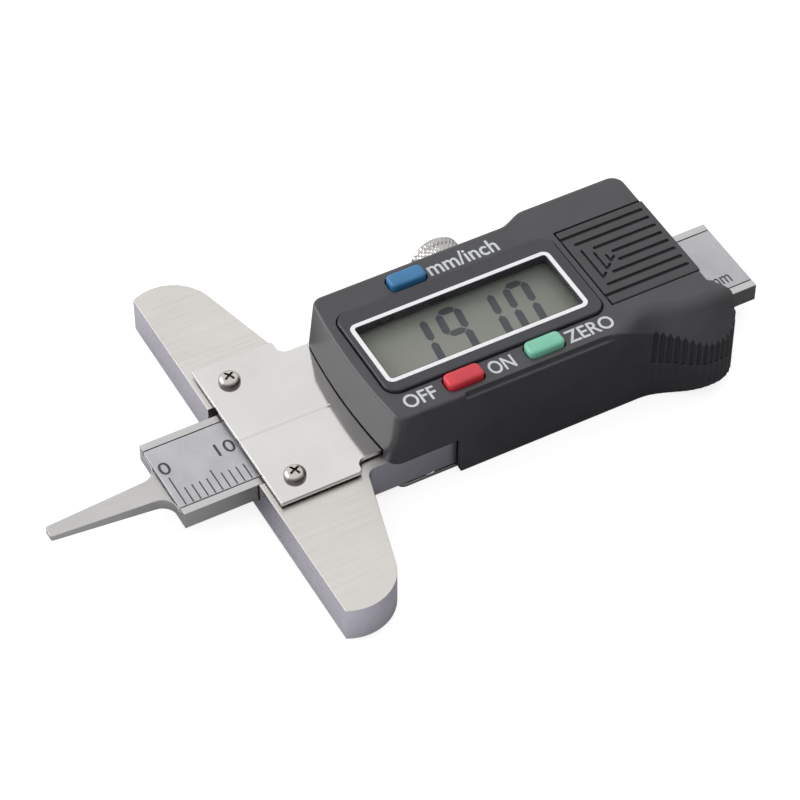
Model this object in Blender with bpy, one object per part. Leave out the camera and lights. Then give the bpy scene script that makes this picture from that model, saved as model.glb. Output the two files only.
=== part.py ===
# Digital depth gauge: steel base and beam with a flat probe, and a moulded display housing.
# Frame: +X from the probe's tip to the beam's rear end, +Y to the lock screw's side, +Z up through the
# display. The origin lies at the bottom centre of the gauge with its beam at the photographed reading.

import math

import bmesh
import bpy
from mathutils import Matrix, Vector

MM = 0.001

# Clearances
SEAT_GAP = 0.3 * MM
STRIP_SIDE_GAP = 0.15 * MM
OVERRUN = 2.0 * MM

# Overall: tip to tail, and how far the probe's tip stands out from the measuring face
OVERALL_LENGTH = 97.6 * MM
EXTENSION = 25.5 * MM

# Beam, probe and scale strip
BEAM_WIDTH = 12.8 * MM
BEAM_THICKNESS = 2.6 * MM
BEAM_RAIL_WIDTH = 1.1 * MM
BEAM_HEADROOM = 0.3 * MM
STRIP_THICKNESS = 0.5 * MM
PROBE_LENGTH = 15.5 * MM
PROBE_TIP_WIDTH = 1.85 * MM
PROBE_ROOT_WIDTH = 3.5 * MM
PROBE_OFFSET = -0.4 * MM
PROBE_TIP_THICKNESS = 0.8 * MM
PROBE_ROOT_STEP = 0.15 * MM
PROBE_ROOT_FILLET = 2.0 * MM
PROBE_POINT_RADIUS = 0.35 * MM

# Measuring base and slider frame, lengths back from the measuring face
BASE_SPAN = 60.0 * MM
WING_TIP_RADIUS = 6.1 * MM
WING_TIP_SETBACK = 2.9 * MM
WING_SLANT_DEG = 15.1
NECK_FILLET = 1.5 * MM
FLOOR_THICKNESS = 2.0 * MM
FRAME_NEAR_WALL = 4.2 * MM
FRAME_FAR_WALL = 2.9 * MM
NECK_FAR_EXTRA = 0.5 * MM
TAPPED_HOLE_DEPTH = 3.6 * MM

# Back plate
BACK_PLATE_SETBACK = 17.2 * MM
BACK_PLATE_THICKNESS = 0.5 * MM
BACK_PLATE_CORNER = 1.0 * MM

# Cover plate and its screws
PLATE_SETBACK = 0.7 * MM
PLATE_THICKNESS = 0.6 * MM
PLATE_WIDE_LENGTH = 11.2 * MM
PLATE_NEAR_OVERHANG = 0.5 * MM
PLATE_FAR_OVERHANG = 2.6 * MM
PLATE_CORNER_RADIUS = 0.6 * MM
PLATE_NOTCH_RADIUS = 1.2 * MM
PLATE_NEAR_LAND = 0.1 * MM
PLATE_FAR_LAND = 0.7 * MM
PLATE_SCREW_SETBACK = 4.2 * MM
PLATE_SCREW_NEAR_INSET = 1.4 * MM
PLATE_SCREW_FAR_INSET = 2.3 * MM
PLATE_SCREW_HEAD_RADIUS = 1.45 * MM
PLATE_SCREW_HEAD_HEIGHT = 0.8 * MM
PLATE_SCREW_SHANK_RADIUS = 0.8 * MM

# Gib strip and lock screw
GIB_THICKNESS = 0.5 * MM
GIB_START = 3.0 * MM
GIB_END_INSET = 2.0 * MM
LOCK_SHANK_RADIUS = 1.0 * MM
LOCK_COLLAR_RADIUS = 1.8 * MM
LOCK_COLLAR_LENGTH = 2.8 * MM
LOCK_HEAD_RADIUS = 3.6 * MM
LOCK_HEAD_LENGTH = 4.7 * MM
LOCK_HEAD_CHAMFER = 0.35 * MM
LOCK_KNURL_DEPTH = 0.22 * MM
LOCK_KNURL_COUNT = 32
LOCK_RAMP_GAP = 5.3 * MM

# Housing: front wall back from the measuring face, the rest forward from the rear wall
HOUSING_FOOT = 14.9 * MM
FRONT_WALL_LEAN = 0.9 * MM
HOUSING_REAR = 62.3 * MM
REAR_WALL = 1.7 * MM
SKIRT_SETBACK = 25.3 * MM
SKIRT_WALL = 0.8 * MM
SHELL_WALL = 1.1 * MM
SHELL_ROOF = 1.7 * MM
HOUSING_CHAMFER = 0.55 * MM
FRONT_BOW_RADIUS = 83.0 * MM
FRONT_CORNER_RADIUS = 1.6 * MM
FAR_REAR_CORNER_RADIUS = 1.8 * MM
FAR_STEP = 1.4 * MM
FAR_STEP_LENGTH = 14.3 * MM
FAR_RAMP_LENGTH = 4.2 * MM

# Grip swelling at the near rear corner, cut off by a slope that starts at the shoulder line
GRIP_LEAD = 1.2 * MM
GRIP_LENGTH = 8.0 * MM
GRIP_FLARE_LENGTH = 8.4 * MM
GRIP_BULGE = 3.9 * MM
GRIP_FOOT_BULGE = 2.1 * MM
GRIP_UNDERCUT = 2.4 * MM
GRIP_REAR_BULGE = 1.7 * MM
GRIP_CORNER_RADIUS = 3.5 * MM
GRIP_COVER_GAP = 1.65 * MM
GRIP_LIP = 3.0 * MM
SHOULDER_LENGTH = 9.7 * MM
SHOULDER_FRONT_INSET = 1.4 * MM
SHOULDER_REAR_INSET = 0.8 * MM
SLOPE_LEAD = 3.0 * MM
SLOPE_RUN_SHARE = 1.33
RIB_COUNT = 17
RIB_DEPTH = 0.25 * MM
RIB_SAMPLES = 4

# Display
BEZEL_FRONT_MARGIN = 1.7 * MM
BEZEL_COVER_GAP = 1.1 * MM
BEZEL_CORNER_RADIUS = 1.8 * MM
BEZEL_RISE = 0.4 * MM
BEZEL_THICKNESS = 1.0 * MM
BEZEL_SIDE_GAP = 0.2 * MM
WINDOW_FRONT_BORDER = 1.8 * MM
WINDOW_REAR_BORDER = 2.2 * MM
WINDOW_NEAR_BORDER = 2.5 * MM
WINDOW_FAR_BORDER = 3.6 * MM
WINDOW_CORNER_RADIUS = 0.8 * MM
LENS_MARGIN = 0.5 * MM
LENS_THICKNESS = 0.5 * MM
LCD_MARGIN = 1.5 * MM
LCD_THICKNESS = 2.0 * MM
CONNECTOR_WIDTH = 1.4 * MM
CONNECTOR_END_INSET = 1.4 * MM

# Circuit board and buttons, the buttons' places back from the bezel's front edge
BOARD_THICKNESS = 0.8 * MM
BOARD_NOSE = 1.3 * MM
BUTTON_LENGTH = 4.8 * MM
BUTTON_WIDTH = 1.9 * MM
BUTTON_RISE = 0.9 * MM
BUTTON_CORNER_RADIUS = 0.7 * MM
BUTTON_EDGE = 0.3 * MM
BUTTON_SIDE_GAP = 0.3 * MM
BUTTON_TRAVEL = 0.5 * MM
BUTTON_TAB = 0.8 * MM
BUTTON_TAB_THICKNESS = 0.6 * MM
BUTTON_STEM_RADIUS = 0.8 * MM
BUTTON_STEM_LENGTH = 1.0 * MM
BUTTON_BEZEL_GAP = 0.7 * MM
BUTTON_NEAR_MARGIN = 1.5 * MM
BUTTON_FAR_MARGIN = 1.7 * MM
DOME_RADIUS = 0.95 * MM
UNITS_BUTTON_OFFSET = 11.35 * MM
POWER_BUTTON_OFFSET = 9.35 * MM
ZERO_BUTTON_OFFSET = 20.75 * MM

# Battery cover and cell
CELL_RADIUS = 5.8 * MM
CELL_HEIGHT = 5.4 * MM
CELL_HEADROOM = 0.4 * MM
CELL_STEP = 0.5 * MM
CELL_OFFSET = -0.15 * MM
COVER_LENGTH = 13.15 * MM
COVER_OVERHANG = 0.25 * MM
COVER_THICKNESS = 0.8 * MM
COVER_WEB_INSET = 0.65 * MM
COVER_WEB_THICKNESS = 0.45 * MM
COVER_TONGUE_REACH = 0.7 * MM
COVER_TONGUE_THICKNESS = 0.6 * MM
COVER_LEDGE = 0.6 * MM
GROOVE_COUNT = 4
GROOVE_WIDTH = 0.5 * MM
GROOVE_DEPTH = 0.3 * MM
GROOVE_REAR_MARGIN = 1.0 * MM
CONTACT_THICKNESS = 0.3 * MM
CONTACT_WIDTH = 4.0 * MM
CONTACT_SIDE_HEIGHT = 4.0 * MM
BASE_CONTACT_RADIUS = 2.2 * MM

# Back screws, through back plate and frame into bosses of the upper shell
FRONT_SCREW_INSET = 5.9 * MM
REAR_SCREW_INSET = 9.0 * MM
BACK_SCREW_EDGE = 1.3 * MM
BACK_SCREW_SHANK_RADIUS = 0.6 * MM
BACK_SCREW_HEAD_RADIUS = 0.9 * MM
BACK_SCREW_HEAD_HEIGHT = 0.4 * MM
BACK_SCREW_BITE = 3.3 * MM
BOSS_RADIUS = 1.6 * MM

# Places along X that follow from the sizes above
TIP_X = -OVERALL_LENGTH / 2
BASE_X = TIP_X + EXTENSION
BEAM_START_X = TIP_X + PROBE_LENGTH
BEAM_END_X = OVERALL_LENGTH / 2
FOOT_X = BASE_X + HOUSING_FOOT
BROW_X = FOOT_X + FRONT_WALL_LEAN
REAR_X = BASE_X + HOUSING_REAR
FRAME_END_X = REAR_X - REAR_WALL - SEAT_GAP
SKIRT_X = BASE_X + SKIRT_SETBACK
REAR_CLEAR_X = REAR_X + GRIP_REAR_BULGE + OVERRUN
CAVITY_FRONT = BROW_X + SHELL_WALL
CAVITY_REAR = REAR_X - SHELL_WALL
COVER_END_X = REAR_X + COVER_OVERHANG
COVER_X = COVER_END_X - COVER_LENGTH
CELL_X = CAVITY_REAR - SEAT_GAP - CELL_RADIUS
BEZEL_X = BROW_X + BEZEL_FRONT_MARGIN
BEZEL_END_X = COVER_X - BEZEL_COVER_GAP
WINDOW_X = BEZEL_X + WINDOW_FRONT_BORDER
WINDOW_END_X = BEZEL_END_X - WINDOW_REAR_BORDER
FRONT_SCREW_X = BROW_X + FRONT_SCREW_INSET
REAR_SCREW_X = REAR_X - REAR_SCREW_INSET
BOARD_X = FRONT_SCREW_X - BOSS_RADIUS - BOARD_NOSE
PLATE_X = BASE_X + PLATE_SETBACK
PLATE_END_X = BOARD_X - SEAT_GAP
FAR_RAMP_END_X = REAR_X - FAR_STEP_LENGTH
FAR_RAMP_START_X = FAR_RAMP_END_X - FAR_RAMP_LENGTH
LOCK_X = FAR_RAMP_START_X - LOCK_RAMP_GAP

# Places across, from the beam outwards; near is the buttons' side, far the lock screw's side
SLOT_NEAR = BEAM_WIDTH / 2 + SEAT_GAP
GIB_Y = BEAM_WIDTH / 2 + SEAT_GAP
SLOT_FAR = GIB_Y + GIB_THICKNESS + SEAT_GAP
FRAME_NEAR = SLOT_NEAR + FRAME_NEAR_WALL
FRAME_FAR = SLOT_FAR + FRAME_FAR_WALL
NECK_FAR = FRAME_FAR + NECK_FAR_EXTRA
HOUSING_NEAR = FRAME_NEAR + SEAT_GAP + SKIRT_WALL
HOUSING_FAR = FRAME_FAR + SEAT_GAP + SKIRT_WALL
HOUSING_FAR_REAR = HOUSING_FAR + FAR_STEP
CAVITY_NEAR = HOUSING_NEAR - SHELL_WALL
CAVITY_FAR = HOUSING_FAR - SHELL_WALL
PLATE_NEAR = FRAME_NEAR + PLATE_NEAR_OVERHANG
PLATE_FAR = NECK_FAR + PLATE_FAR_OVERHANG
PLATE_TAIL_NEAR = PLATE_NEAR - PLATE_CORNER_RADIUS - PLATE_NEAR_LAND - PLATE_NOTCH_RADIUS
PLATE_TAIL_FAR = PLATE_FAR - PLATE_CORNER_RADIUS - PLATE_FAR_LAND - PLATE_NOTCH_RADIUS
NEAR_BUTTON_Y = -HOUSING_NEAR + BUTTON_NEAR_MARGIN + BUTTON_WIDTH / 2
FAR_BUTTON_Y = HOUSING_FAR - BUTTON_FAR_MARGIN - BUTTON_WIDTH / 2
BEZEL_NEAR = -NEAR_BUTTON_Y - BUTTON_WIDTH / 2 - BUTTON_BEZEL_GAP
BEZEL_FAR = FAR_BUTTON_Y - BUTTON_WIDTH / 2 - BUTTON_BEZEL_GAP
WINDOW_NEAR = BEZEL_NEAR - WINDOW_NEAR_BORDER
WINDOW_FAR = BEZEL_FAR - WINDOW_FAR_BORDER
COVER_HALF_WIDTH = CELL_RADIUS + SEAT_GAP + COVER_WEB_THICKNESS + COVER_WEB_INSET
GRIP_RETURN_Y = CELL_OFFSET - COVER_HALF_WIDTH - GRIP_COVER_GAP

# Heights, from the ground up
BASE_BOTTOM = BACK_PLATE_THICKNESS + SEAT_GAP
SLOT_FLOOR = BASE_BOTTOM + FLOOR_THICKNESS
BEAM_BOTTOM = SLOT_FLOOR + SEAT_GAP
BEAM_TOP = BEAM_BOTTOM + BEAM_THICKNESS
BASE_TOP = BEAM_TOP + BEAM_HEADROOM
RECESS_FLOOR = BEAM_TOP - STRIP_THICKNESS - SEAT_GAP
LOCK_Z = (BEAM_BOTTOM + BEAM_TOP) / 2
PLATE_BOTTOM = BASE_TOP + SEAT_GAP
PLATE_TOP = PLATE_BOTTOM + PLATE_THICKNESS
SKIRT_TOP = BASE_TOP
SHELL_BOTTOM = SKIRT_TOP + SEAT_GAP
BOARD_BOTTOM = BASE_TOP + SEAT_GAP
BOARD_TOP = BOARD_BOTTOM + BOARD_THICKNESS
CELL_BOTTOM = BOARD_TOP + SEAT_GAP
COVER_BOTTOM = CELL_BOTTOM + CELL_HEIGHT + CELL_HEADROOM
COVER_TOP = COVER_BOTTOM + COVER_THICKNESS
HOUSING_TOP = COVER_TOP
BROW_Z = HOUSING_TOP - HOUSING_CHAMFER
SHELL_CEILING = HOUSING_TOP - SHELL_ROOF
COVER_POCKET_FLOOR = COVER_BOTTOM - SEAT_GAP
TONGUE_TOP = COVER_POCKET_FLOOR - COVER_LEDGE - SEAT_GAP
TONGUE_BOTTOM = TONGUE_TOP - COVER_TONGUE_THICKNESS
BEZEL_TOP = HOUSING_TOP + BEZEL_RISE
BEZEL_BOTTOM = BEZEL_TOP - BEZEL_THICKNESS
BEZEL_POCKET_FLOOR = BEZEL_BOTTOM - SEAT_GAP
LENS_TOP = BEZEL_POCKET_FLOOR
LENS_BOTTOM = LENS_TOP - LENS_THICKNESS
LCD_TOP = LENS_BOTTOM - SEAT_GAP
LCD_BOTTOM = LCD_TOP - LCD_THICKNESS
SCREW_TOP = BOARD_BOTTOM + BACK_SCREW_BITE
TAB_TOP = SHELL_CEILING - SEAT_GAP
TAB_BOTTOM = TAB_TOP - BUTTON_TAB_THICKNESS
STEM_BOTTOM = TAB_BOTTOM - BUTTON_STEM_LENGTH


def clear_scene():
    for old in list(bpy.data.objects):
        bpy.data.objects.remove(old, do_unlink=True)


def material(name, colour, roughness, metallic=0.0, alpha=1.0):
    made = bpy.data.materials.new(name)
    made.use_nodes = True
    shader = made.node_tree.nodes["Principled BSDF"]
    shader.inputs["Base Color"].default_value = (*colour, 1.0)
    shader.inputs["Roughness"].default_value = roughness
    shader.inputs["Metallic"].default_value = metallic
    shader.inputs["Alpha"].default_value = alpha
    return made


def add_object(name, bm, finish=None, smooth_deg=None, origin=None):
    """Turn a bmesh into an object; origin moves the object's own origin there, the shape stays."""
    bmesh.ops.recalc_face_normals(bm, faces=bm.faces)
    if origin is not None:
        bmesh.ops.translate(bm, verts=bm.verts, vec=-Vector(origin))
    mesh = bpy.data.meshes.new(name)
    bm.to_mesh(mesh)
    bm.free()
    if smooth_deg is not None:
        mesh.shade_smooth()
        mesh.set_sharp_from_angle(angle=math.radians(smooth_deg))
    made = bpy.data.objects.new(name, mesh)
    bpy.context.scene.collection.objects.link(made)
    if origin is not None:
        made.location = origin
    if finish is not None:
        mesh.materials.append(finish)
    return made


def ring(bm, points):
    return [bm.verts.new(p) for p in points]


def loft(bm, rings):
    """Join rings of equal length with side faces, and close both ends."""
    rows = [ring(bm, points) for points in rings]
    count = len(rows[0])
    for lower, upper in zip(rows, rows[1:]):
        for i in range(count):
            j = (i + 1) % count
            bm.faces.new((lower[i], lower[j], upper[j], upper[i]))
    bm.faces.new(list(reversed(rows[0])))
    bm.faces.new(rows[-1])
    return bm


def at_height(outline, z):
    return [(x, y, z) for x, y in outline]


def prism(outline, z_low, z_high, bm=None):
    return loft(bm or bmesh.new(), [at_height(outline, z_low), at_height(outline, z_high)])


def rectangle(x_low, x_high, y_low, y_high):
    return [(x_low, y_low), (x_high, y_low), (x_high, y_high), (x_low, y_high)]


def box(x_low, x_high, y_low, y_high, z_low, z_high, bm=None):
    return prism(rectangle(x_low, x_high, y_low, y_high), z_low, z_high, bm)


def arc(centre, radius, start_deg, end_deg, steps):
    angles = [math.radians(start_deg + (end_deg - start_deg) * i / steps) for i in range(steps + 1)]
    return [(centre[0] + radius * math.cos(a), centre[1] + radius * math.sin(a)) for a in angles]


def rounded_rectangle(x_low, x_high, y_low, y_high, radius, steps=5):
    outline = arc((x_high - radius, y_low + radius), radius, -90, 0, steps)
    outline += arc((x_high - radius, y_high - radius), radius, 0, 90, steps)
    outline += arc((x_low + radius, y_high - radius), radius, 90, 180, steps)
    outline += arc((x_low + radius, y_low + radius), radius, 180, 270, steps)
    return outline


def circle(centre, radius, steps=24):
    return arc(centre, radius, 0, 360 * (steps - 1) / steps, steps - 1)


def turned(centre, profile, steps=24, bm=None):
    """A solid turned about a vertical axis; profile lists (radius, height) from the bottom up."""
    rings = [at_height(circle(centre, radius, steps), z) for radius, z in profile]
    return loft(bm or bmesh.new(), rings)


def inset(outline, distance):
    """Move each point of a closed counter-clockwise outline inwards by distance."""
    moved = []
    count = len(outline)
    for i, point in enumerate(outline):
        before = Vector(outline[i - 1])
        here = Vector(point)
        after = Vector(outline[(i + 1) % count])
        first = (here - before).normalized()
        second = (after - here).normalized()
        inward = Vector((-first.y - second.y, first.x + second.x)).normalized()
        reach = distance / max(inward.dot(Vector((-first.y, first.x))), math.cos(math.radians(60)))
        moved.append(tuple(here + inward * reach))
    return moved


def ease(share):
    """Smooth step from 0 to 1."""
    share = min(max(share, 0.0), 1.0)
    return (1 - math.cos(math.pi * share)) / 2


def change(target, tool_bm, operation):
    """Cut target with a closed tool, or join the tool to it. The tool stays as a wire guide."""
    tool = add_object(target.name + "_tool_" + str(len(target.modifiers) + 1), tool_bm)
    tool.hide_render = True
    tool.display_type = "WIRE"
    modifier = target.modifiers.new(tool.name, "BOOLEAN")
    modifier.operation = operation
    modifier.solver = "EXACT"
    modifier.object = tool


def cut(target, tool_bm):
    change(target, tool_bm, "DIFFERENCE")


def join(target, tool_bm):
    change(target, tool_bm, "UNION")


def plate_screw_places():
    x = BASE_X + PLATE_SCREW_SETBACK
    return [(x, -SLOT_NEAR - PLATE_SCREW_NEAR_INSET), (x, SLOT_FAR + PLATE_SCREW_FAR_INSET)]


def back_screw_places():
    near = -FRAME_NEAR + BACK_SCREW_EDGE
    far = FRAME_FAR - BACK_SCREW_EDGE
    return [(x, y) for x in (FRONT_SCREW_X, REAR_SCREW_X) for y in (near, far)]


def columns(places, radius, z_low, z_high, steps=16):
    """Separate round columns, one at each place, in one bmesh."""
    bm = bmesh.new()
    for place in places:
        turned(place, [(radius, z_low), (radius, z_high)], steps, bm)
    return bm


def along_y(bm, x, z):
    """Lay a solid that was turned about the vertical axis at (0, 0) along +Y at (x, z)."""
    turn = Matrix.Translation((x, 0, z)) @ Matrix.Rotation(math.radians(-90), 4, "X")
    bmesh.ops.transform(bm, matrix=turn, verts=bm.verts)
    return bm


def lock_hole(y_low, y_high):
    """Round tool along the lock screw's axis."""
    radius = LOCK_SHANK_RADIUS + SEAT_GAP
    return along_y(turned((0, 0), [(radius, y_low), (radius, y_high)]), LOCK_X, LOCK_Z)


def base_half_outline(half_width):
    """One wing and its side of the neck, from the measuring face back, for the +Y side."""
    slant = math.radians(WING_SLANT_DEG)
    tip_y = BASE_SPAN / 2 - WING_TIP_RADIUS
    front_angle = math.degrees(math.acos(-WING_TIP_SETBACK / WING_TIP_RADIUS))
    tip = arc((BASE_X + WING_TIP_SETBACK, tip_y), WING_TIP_RADIUS, front_angle, WING_SLANT_DEG, 14)
    last_x, last_y = tip[-1]
    fillet_y = half_width + NECK_FILLET * (1 - math.sin(slant))
    slant_end_x = last_x + (last_y - fillet_y) * math.tan(slant)
    centre = (slant_end_x + NECK_FILLET * math.cos(slant), fillet_y + NECK_FILLET * math.sin(slant))
    return tip + arc(centre, NECK_FILLET, 180 + WING_SLANT_DEG, 270, 6)


def build_measuring_base(steel):
    """Wings, neck and slider frame are one piece, with the beam's slot along its top."""
    far = base_half_outline(NECK_FAR)
    far += [(SKIRT_X, NECK_FAR), (SKIRT_X, FRAME_FAR), (FRAME_END_X, FRAME_FAR)]
    near = [(x, -y) for x, y in base_half_outline(FRAME_NEAR)] + [(FRAME_END_X, -FRAME_NEAR)]
    outline = near + list(reversed(far))
    base = add_object("measuring_base", prism(outline, BASE_BOTTOM, BASE_TOP), steel)
    above = BASE_TOP + OVERRUN
    cut(base, box(BASE_X - OVERRUN, FRAME_END_X + OVERRUN, -SLOT_NEAR, SLOT_FAR, SLOT_FLOOR, above))
    radius = PLATE_SCREW_SHANK_RADIUS + SEAT_GAP
    cut(base, columns(plate_screw_places(), radius, BASE_TOP - TAPPED_HOLE_DEPTH, above))
    radius = BACK_SCREW_SHANK_RADIUS + SEAT_GAP
    cut(base, columns(back_screw_places(), radius, BASE_BOTTOM - OVERRUN, above))
    cut(base, lock_hole(SLOT_FAR - GIB_THICKNESS, FRAME_FAR + OVERRUN))
    return base


def build_back_plate(steel):
    x_low = BASE_X + BACK_PLATE_SETBACK
    outline = rounded_rectangle(x_low, FRAME_END_X, -FRAME_NEAR, FRAME_FAR, BACK_PLATE_CORNER, 4)
    plate = add_object("back_plate", prism(outline, 0, BACK_PLATE_THICKNESS), steel)
    radius = BACK_SCREW_HEAD_RADIUS + SEAT_GAP
    cut(plate, columns(back_screw_places(), radius, -OVERRUN, BACK_PLATE_THICKNESS + OVERRUN))
    return plate


def build_back_screws(steel):
    """Cheese heads sunk in the back plate, shanks through the frame into the shell's bosses."""
    head_top = BASE_BOTTOM - SEAT_GAP
    profile = [
        (BACK_SCREW_HEAD_RADIUS, head_top - BACK_SCREW_HEAD_HEIGHT),
        (BACK_SCREW_HEAD_RADIUS, head_top),
        (BACK_SCREW_SHANK_RADIUS, head_top),
        (BACK_SCREW_SHANK_RADIUS, SCREW_TOP),
    ]
    for number, place in enumerate(back_screw_places(), 1):
        add_object("back_screw_" + str(number), turned(place, profile, 16), steel, 35)


def cover_plate_outline():
    """Wide front part with rounded corners, and a narrower tail that runs under the housing."""
    x_wide = PLATE_X + PLATE_WIDE_LENGTH
    corner = PLATE_CORNER_RADIUS
    notch = PLATE_NOTCH_RADIUS
    outline = [(PLATE_X, -PLATE_NEAR)]
    outline += arc((x_wide - corner, -PLATE_NEAR + corner), corner, -90, 0, 4)
    outline += arc((x_wide + notch, -PLATE_TAIL_NEAR - notch), notch, 180, 90, 5)
    outline += [(PLATE_END_X, -PLATE_TAIL_NEAR), (PLATE_END_X, PLATE_TAIL_FAR)]
    outline += arc((x_wide + notch, PLATE_TAIL_FAR + notch), notch, 270, 180, 5)
    outline += arc((x_wide - corner, PLATE_FAR - corner), corner, 0, 90, 4)
    outline.append((PLATE_X, PLATE_FAR))
    return outline


def build_cover_plate(steel):
    plate = add_object("cover_plate", prism(cover_plate_outline(), PLATE_BOTTOM, PLATE_TOP), steel)
    radius = PLATE_SCREW_SHANK_RADIUS + SEAT_GAP
    cut(plate, columns(plate_screw_places(), radius, PLATE_BOTTOM - OVERRUN, PLATE_TOP + OVERRUN))
    return plate


def build_cover_plate_screws(steel):
    """Pan heads: a short cylinder under a dome."""
    head_bottom = PLATE_TOP + SEAT_GAP
    shank_bottom = BASE_TOP - TAPPED_HOLE_DEPTH + SEAT_GAP
    rim_share = 0.3
    dome_shares = [(1.0, 0.0), (0.92, 0.42), (0.74, 0.74), (0.45, 0.94), (0.15, 1.0)]
    rim_height = PLATE_SCREW_HEAD_HEIGHT * rim_share
    profile = [
        (PLATE_SCREW_SHANK_RADIUS, shank_bottom),
        (PLATE_SCREW_SHANK_RADIUS, head_bottom),
        (PLATE_SCREW_HEAD_RADIUS, head_bottom),
    ]
    for across, up in dome_shares:
        height = head_bottom + rim_height + (PLATE_SCREW_HEAD_HEIGHT - rim_height) * up
        profile.append((PLATE_SCREW_HEAD_RADIUS * across, height))
    for number, place in enumerate(plate_screw_places(), 1):
        add_object("cover_plate_screw_" + str(number), turned(place, profile, 20), steel, 35)


def probe_outline():
    """Tapered probe seen from above, running into the beam through two concave fillets."""
    half_tip = PROBE_TIP_WIDTH / 2
    half_root = PROBE_ROOT_WIDTH / 2
    fillet = PROBE_ROOT_FILLET
    point = PROBE_POINT_RADIUS
    near = arc((TIP_X + point, PROBE_OFFSET - half_tip + point), point, 180, 270, 3)
    near += arc((BEAM_START_X - fillet, PROBE_OFFSET - half_root - fillet), fillet, 90, 0, 6)
    far = [(x, 2 * PROBE_OFFSET - y) for x, y in reversed(near)]
    inside_x = BEAM_START_X + OVERRUN / 2
    edge = half_root + fillet
    return near + [(inside_x, PROBE_OFFSET - edge), (inside_x, PROBE_OFFSET + edge)] + far


def build_beam(steel):
    """Bar with a shallow recess for the strip, and the flat probe forged on its front end."""
    half = BEAM_WIDTH / 2
    beam = add_object("beam", box(BEAM_START_X, BEAM_END_X, -half, half, BEAM_BOTTOM, BEAM_TOP), steel)
    inner = half - BEAM_RAIL_WIDTH
    above = BEAM_TOP + OVERRUN
    cut(beam, box(BEAM_START_X - OVERRUN, BEAM_END_X + OVERRUN, -inner, inner, RECESS_FLOOR, above))
    root_thickness = RECESS_FLOOR - BEAM_BOTTOM - PROBE_ROOT_STEP
    thickening = (root_thickness - PROBE_TIP_THICKNESS) / PROBE_LENGTH
    lower = []
    for x, y in probe_outline():
        lower.append((x, y, RECESS_FLOOR - PROBE_TIP_THICKNESS - thickening * (x - TIP_X)))
    join(beam, loft(bmesh.new(), [lower, at_height(probe_outline(), RECESS_FLOOR)]))
    return beam


def build_scale_strip(finish):
    half = BEAM_WIDTH / 2 - BEAM_RAIL_WIDTH - STRIP_SIDE_GAP
    strip = box(BEAM_START_X, BEAM_END_X, -half, half, BEAM_TOP - STRIP_THICKNESS, BEAM_TOP)
    return add_object("scale_strip", strip, finish)


def build_gib_strip(steel):
    x_low = BASE_X + GIB_START
    x_high = FRAME_END_X - GIB_END_INSET
    gib = box(x_low, x_high, GIB_Y, GIB_Y + GIB_THICKNESS, BEAM_BOTTOM, BEAM_TOP)
    return add_object("gib_strip", gib, steel, origin=(x_low, GIB_Y, LOCK_Z))


def knurl_ring(radius):
    """Circle with small teeth, in the plane across the screw's axis."""
    points = []
    steps = LOCK_KNURL_COUNT * 2
    for i in range(steps):
        reach = radius if i % 2 == 0 else radius - LOCK_KNURL_DEPTH
        angle = 2 * math.pi * i / steps
        points.append((reach * math.cos(angle), reach * math.sin(angle)))
    return points


def build_lock_screw(steel):
    """Knurled thumb screw whose tip presses the gib strip, turned about the Y axis."""
    collar = HOUSING_FAR + SEAT_GAP
    collar_end = collar + LOCK_COLLAR_LENGTH
    head_end = collar_end + LOCK_HEAD_LENGTH
    steps = LOCK_KNURL_COUNT * 2
    shank = circle((0, 0), LOCK_SHANK_RADIUS, steps)
    neck = circle((0, 0), LOCK_COLLAR_RADIUS, steps)
    edge = circle((0, 0), LOCK_HEAD_RADIUS - LOCK_HEAD_CHAMFER, steps)
    knurl = knurl_ring(LOCK_HEAD_RADIUS)
    rings = [
        at_height(shank, SLOT_FAR),
        at_height(shank, collar),
        at_height(neck, collar),
        at_height(neck, collar_end),
        at_height(edge, collar_end),
        at_height(knurl, collar_end + LOCK_HEAD_CHAMFER),
        at_height(knurl, head_end - LOCK_HEAD_CHAMFER),
        at_height(edge, head_end),
    ]
    bm = along_y(loft(bmesh.new(), rings), LOCK_X, LOCK_Z)
    return add_object("lock_screw", bm, steel, 30, origin=(LOCK_X, SLOT_FAR, LOCK_Z))


def grip_path(with_ribs, bulge=GRIP_BULGE):
    """The swelling at the near rear corner in plan: flare, corner and return, with its ribs."""
    radius = GRIP_CORNER_RADIUS
    corner = (REAR_X + GRIP_REAR_BULGE - radius, -HOUSING_NEAR - bulge + radius)
    start_x = corner[0] - GRIP_LENGTH
    lead_x = start_x - GRIP_LEAD
    samples = RIB_COUNT * RIB_SAMPLES
    flare_share = GRIP_LENGTH / (GRIP_LENGTH + radius * math.pi / 2)
    flare_steps = round(samples * flare_share)
    path = []
    for i in range(flare_steps):
        x = start_x + GRIP_LENGTH * i / flare_steps
        path.append((x, -HOUSING_NEAR - bulge * ease((x - lead_x) / GRIP_FLARE_LENGTH)))
    path += arc(corner, radius, -90, 0, samples - flare_steps)
    if with_ribs:
        ribbed = inset(path, RIB_DEPTH)
        for i in range(1, len(path) - 1):
            deep = (1 - math.cos(2 * math.pi * i / RIB_SAMPLES)) / 2
            path[i] = tuple(Vector(path[i]).lerp(Vector(ribbed[i]), deep))
    path.insert(0, (lead_x, -HOUSING_NEAR))
    return_steps = 6
    for i in range(1, return_steps + 1):
        share = i / return_steps
        y = corner[1] + (GRIP_RETURN_Y - corner[1]) * share
        path.append((REAR_X + GRIP_REAR_BULGE * math.cos(math.pi / 2 * share), y))
    return path


def shoulder_ends():
    """The line where the flat top ends above the swelling."""
    start = Vector((REAR_X - SHOULDER_LENGTH, -HOUSING_NEAR + SHOULDER_FRONT_INSET))
    return start, Vector((REAR_X, -HOUSING_NEAR + SHOULDER_REAR_INSET))


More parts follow.
